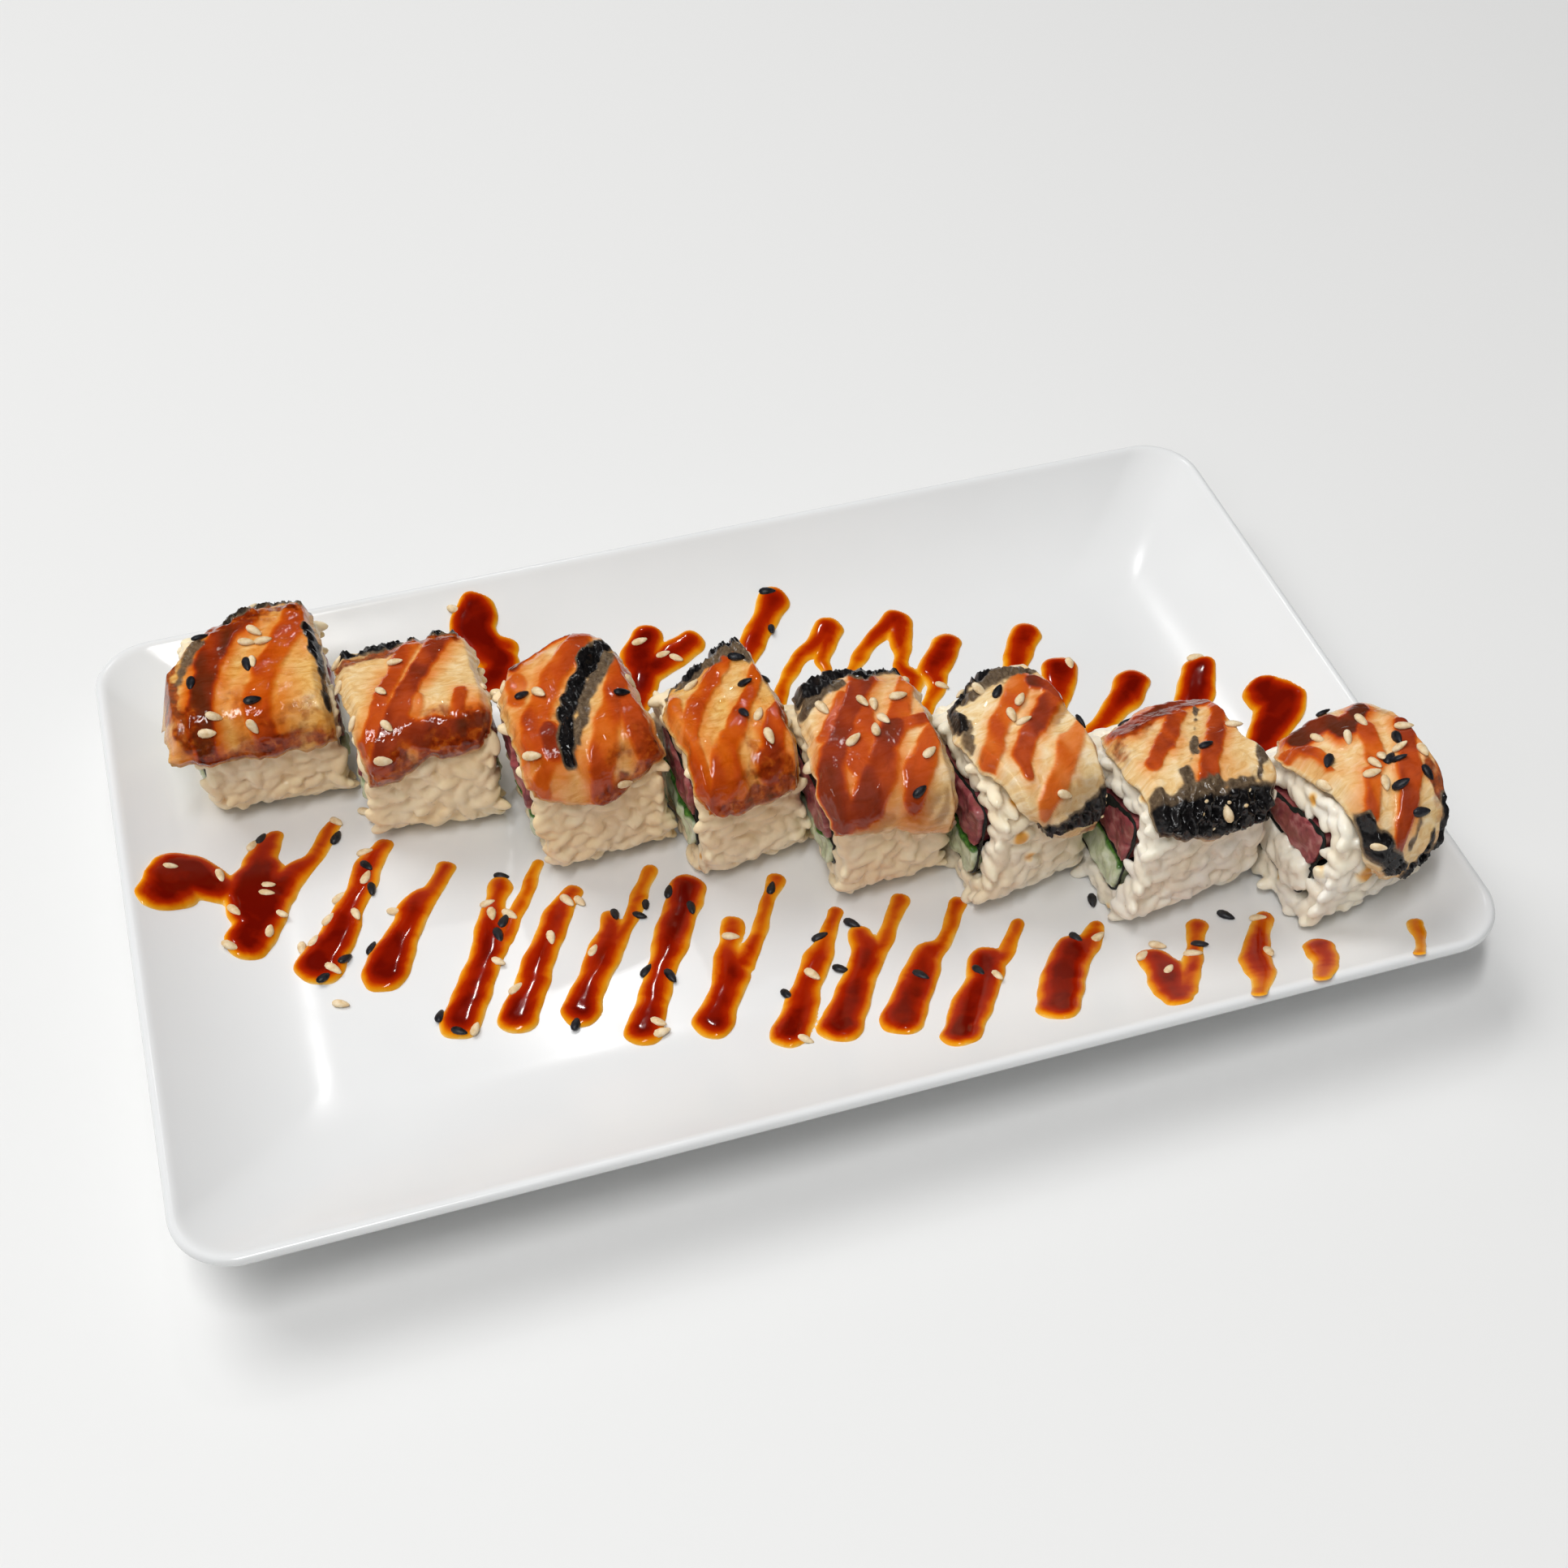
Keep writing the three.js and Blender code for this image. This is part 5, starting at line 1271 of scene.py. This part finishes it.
def build_seaweed(number, slice_, material):
    """A loop of seaweed with a wall across it between the two fillings."""
    count, wide = 150, 20
    middle = RICE_RING + GAP + SHEET / 2
    line, out = slice_.outline(middle, count)
    bm = bmesh.new()
    bmesh.ops.create_circle(bm, segments=count, radius=1)
    bm.verts.ensure_lookup_table()
    edges = list(bm.edges)
    a = np.linspace(-0.99, 0.99, wide)
    ring = list(bm.verts)
    for step in range(wide):
        if step:
            ring, edges = next_ring(bm, edges)
            # Known fault: a vertex can take its place from a neighbour in its own ring, so every
            # ring after the first closes up to one point and the loop shows at the left cut only.
            # Looking for below in the ring before alone would mend it.
            for v in ring:
                below = next(e.other_vert(v) for e in v.link_edges if e.other_vert(v) in slots)
                slots[v] = slots[below]
        else:
            by_angle = sorted(ring, key=lambda v: math.atan2(v.co.y, v.co.x))
            slots = {v: i for i, v in enumerate(by_angle)}
    verts = list(bm.verts)
    place_of = np.array([slots[v] for v in verts])
    level_of = np.repeat(np.arange(wide), count)
    points = slice_.place(a[level_of], line[place_of, 0], line[place_of, 1])
    wave = wobble(points, 4.0, number + 20, 3)
    y = line[place_of, 0] + out[place_of, 0] * wave * 0.35
    z = line[place_of, 1] + out[place_of, 1] * wave * 0.35
    points = slice_.place(a[level_of] + wave * 0.02, y, z)
    for vert, p in zip(verts, points):
        vert.co = Vector(p) * MM
    belong(seaweed_sheet(f"seaweed_loop_{number}", bm), "seaweed", material, f"nori_{number}")

    bm = bmesh.new()
    bmesh.ops.create_grid(bm, x_segments=18, y_segments=16, size=1)
    grid = np.array([v.co[:2] for v in bm.verts])
    y0, y1 = middle - 0.1, slice_.deep - middle + 0.1
    y = mix(y0, y1, (grid[:, 1] + 1) / 2)
    z = np.full(len(y), slice_.tall[0] * WALL_LEVEL)
    points = slice_.place(grid[:, 0] * 0.99, y, z)
    z = z + wobble(points, 4.0, number + 60, 3) * 0.35
    points = slice_.place(grid[:, 0] * 0.99, y, z)
    for vert, p in zip(bm.verts, points):
        vert.co = Vector(p) * MM
    belong(seaweed_sheet(f"seaweed_wall_{number}", bm), "seaweed", material, f"nori_{number}")


def build_filling(kind, number, slice_, material, slot):
    bm = node_copy(f"{kind}_{number}")
    if kind == "clump":
        rng = random.Random(77)
        shape = base_shape(8, 6, (GRAIN["long"], GRAIN["wide"], GRAIN["thick"]))
        places = []
        for side in (-1, 1):
            for _ in range(26):
                y = rng.uniform(8.5, slice_.deep - 8.5)
                z = rng.uniform(8.5, slice_.tall[0] * WALL_LEVEL - 1.6)
                a = side * (0.95 - rng.uniform(0.0, 0.04))
                p = slice_.place(np.array([a]), np.array([y]), np.array([z]))[0]
                facing = (slice_.axis[0] * side, slice_.axis[1] * side, 0)
                places.append(frame_at(p, facing, rng.uniform(0, 3), 0, 0.95))
        bm.from_mesh(scattered(shape, places))
    bm.normal_update()
    for vert in bm.verts:
        vert.co += vert.normal * FILLING_SWELL * MM
    thing = mesh_object(f"{kind}_piece_{number}", bm)
    fused(thing, FILLING_VOXEL, 4)
    mesh = thing.data
    points = coordinates(mesh) / MM
    centre = points.mean(0)
    away = points - centre
    bulge = wobble(points, 5.0, number + 30, 3)
    points += away / np.linalg.norm(away, axis=1)[:, None] * bulge[:, None] * 0.5
    run = away[:, 0] * slice_.axis[0] + away[:, 1] * slice_.axis[1]
    near_cut = np.sign(run) * smooth((np.abs(run) - slice_.thick / 2 + 2.5) / 2.5)
    points[:, :2] += slice_.axis * (near_cut * (0.9 + 0.6 * bulge))[:, None]
    move_points(mesh, points * MM)
    if kind == "cucumber":
        store(mesh, "skin", smooth((away[:, 2] - 1.2 + 0.5 * bulge) / 2.2))
    if kind == "clump":
        # the clump gets the same painted warm bounce light and glaze tint as the rice of slice 8
        store(mesh, "stain_and_bounce", np.full(len(points), RICE_SOAK_AND_BOUNCE[8]))
    return belong(thing, slot, material, f"{kind}_{number}")


def build_seeds(pairs, name, shape, material, slot, rng, *nodes):
    """Seeds of one kind as one piece. pairs: centre, outward direction, angle, its zero."""
    places = [frame_at(p, n, angle, rng.gauss(0, 0.1), rng.uniform(0.9, 1.08), x) for p, n, angle, x in pairs]
    mesh = scattered(shape, places)
    mesh.name = name
    mesh.shade_smooth()
    thing = bpy.data.objects.new(name, mesh)
    bpy.context.collection.objects.link(thing)
    return belong(thing, slot, material, *nodes)


def on_plate(spots, lines):
    """Centre and direction of seeds lying on the plate or half sunk in the sauce."""
    xy = np.array([s[:2] for s in spots], float)
    inside, width = sauce_depth(xy, lines)
    up = np.where(inside > 0, sauce_height(inside, width) * 0.75 + 0.15, 0.45)
    z = plate_top(xy[:, 0], xy[:, 1]) + up
    slope = np.column_stack([
        plate_top(xy[:, 0] + 0.5, xy[:, 1]) - plate_top(xy[:, 0] - 0.5, xy[:, 1]),
        plate_top(xy[:, 0], xy[:, 1] + 0.5) - plate_top(xy[:, 0], xy[:, 1] - 0.5),
    ])
    return [
        ((x, y, h), (-gx, -gy, 1.0), math.radians(s[2]), (1, 0, 0))
        for (x, y), h, (gx, gy), s in zip(xy, z, slope, spots)
    ]


def on_eel(skin, spots, rise=0.35):
    """Seeds on the built surface of an eel, from x, s and their angle in that plane."""
    x, s, points, normals = skin
    made = []
    for sx, ss, angle in spots:
        i = np.argmin((x - sx) ** 2 + (s - ss) ** 2)
        near = np.argmin((x - sx - 1.5) ** 2 + (s - ss) ** 2)
        centre, ahead = points[i] + normals[i] * rise, points[near] - points[i]
        made.append((centre, normals[i], -math.radians(angle), ahead))
    return made


# ------------------------------------------------------------------ the object
def build():
    china, gloss, rice = porcelain(), sauce(), steamed_rice()
    seaweed, tuna, cucumber, eel = roasted_seaweed(), raw_tuna(), fresh_cucumber(), grilled_eel()
    tan = sesame("white_sesame", "D9B988", "F2DFBC", 0.45)
    black = sesame("black_sesame", "0B0C10", "2A2B31", 0.4)
    build_plate(china)
    build_sauce("sauce_near", NEAR_DRIPS, gloss, 1.0)
    build_sauce("sauce_far", FAR_DRIPS, gloss, 2.0)
    slices = {number: Slice(data) for number, data in SLICES.items()}
    skins = {}
    for number, slice_ in slices.items():
        build_rice(number, slice_, rice)
        build_seaweed(number, slice_, seaweed)
        build_filling("tuna", number, slice_, tuna, "tuna")
        if number == 8:
            build_filling("clump", number, slice_, rice, "rice")
        else:
            build_filling("cucumber", number, slice_, cucumber, "cucumber")
        skins[number] = build_eel(number, slice_, eel)
    lines = [drip_line(stations) for stations in NEAR_DRIPS + FAR_DRIPS]
    rng = random.Random(9)
    drop = base_shape(8, 6, (SEED["long"], SEED["wide"], SEED["thick"]), taper=0.45)
    build_seeds(on_plate(PLATE_TAN, lines), "white_seeds_plate", drop, tan, "porcelain", rng, "plate")
    build_seeds(on_plate(PLATE_BLACK, lines), "black_seeds_plate", drop, black, "porcelain", rng, "plate")
    fleck = base_shape(8, 6, (0.9, 0.7, 0.4))
    for number, skin in skins.items():
        pale, dark = EEL_SEEDS[number]
        node = f"eel_{number}"
        if pale:
            build_seeds(on_eel(skin, pale), f"white_seeds_{number}", drop, tan, "glazed_eel", rng, node)
        if dark:
            build_seeds(on_eel(skin, dark), f"black_seeds_{number}", drop, black, "glazed_eel", rng, node)
        if number in SPECKS:
            spots = [(x, s, 0) for x, s in SPECKS[number]]
            build_seeds(on_eel(skin, spots, 0.1), f"flecks_{number}", fleck, tan, "glazed_eel", rng, node)


def area_light(name, place, aim, size, power, mirrored=True):
    light = bpy.data.lights.new(name, "AREA")
    light.shape, light.size, light.size_y = "RECTANGLE", *size
    light.energy = power
    lamp = bpy.data.objects.new(name, light)
    lamp.location = place
    lamp.rotation_euler = (Vector(aim) - Vector(place)).to_track_quat("-Z", "Y").to_euler()
    lamp.visible_glossy = mirrored
    bpy.context.collection.objects.link(lamp)


def studio():
    bm = bmesh.new()
    bmesh.ops.create_grid(bm, x_segments=1, y_segments=1, size=4)
    ground = mesh_object("studio_floor", bm)
    ground.data.materials.append(studio_floor())
    world = bpy.data.worlds.new("soft_white_studio")
    world.use_nodes = True
    world.node_tree.nodes["Background"].inputs[0].default_value = (1.0, 1.0, 1.0, 1)
    world.node_tree.nodes["Background"].inputs[1].default_value = 0.22
    world.cycles_visibility.glossy = False
    bpy.context.scene.world = world
    area_light("key", (-0.75, 1.0, 1.75), (0, 0, 0), (1.4, 1.1), 24.5, mirrored=False)
    area_light("fill", (-1.0, -1.0, 1.4), (0, 0, 0), (1.2, 1.0), 4.6, mirrored=False)
    area_light("overhead", (-0.24, -0.36, 1.2), (0, 0, 0.02), (0.1, 0.6), 6)
    area_light("spark", (0.12, 0.95, 1.25), (0, 0, 0.02), (0.05, 0.05), 0.7)

    camera = bpy.data.objects.new("camera", bpy.data.cameras.new("camera"))
    camera.data.lens, camera.data.sensor_width = 50.49, 36
    camera.data.clip_start, camera.data.clip_end = 0.05, 20
    camera.location = (-0.08602, -0.29458, 0.34597)
    camera.rotation_euler = Vector((0.20155, 0.65478, -0.72845)).to_track_quat("-Z", "Y").to_euler()
    bpy.context.collection.objects.link(camera)
    bpy.context.scene.camera = camera
    bpy.context.scene.view_settings.view_transform = "Standard"


build()
studio()
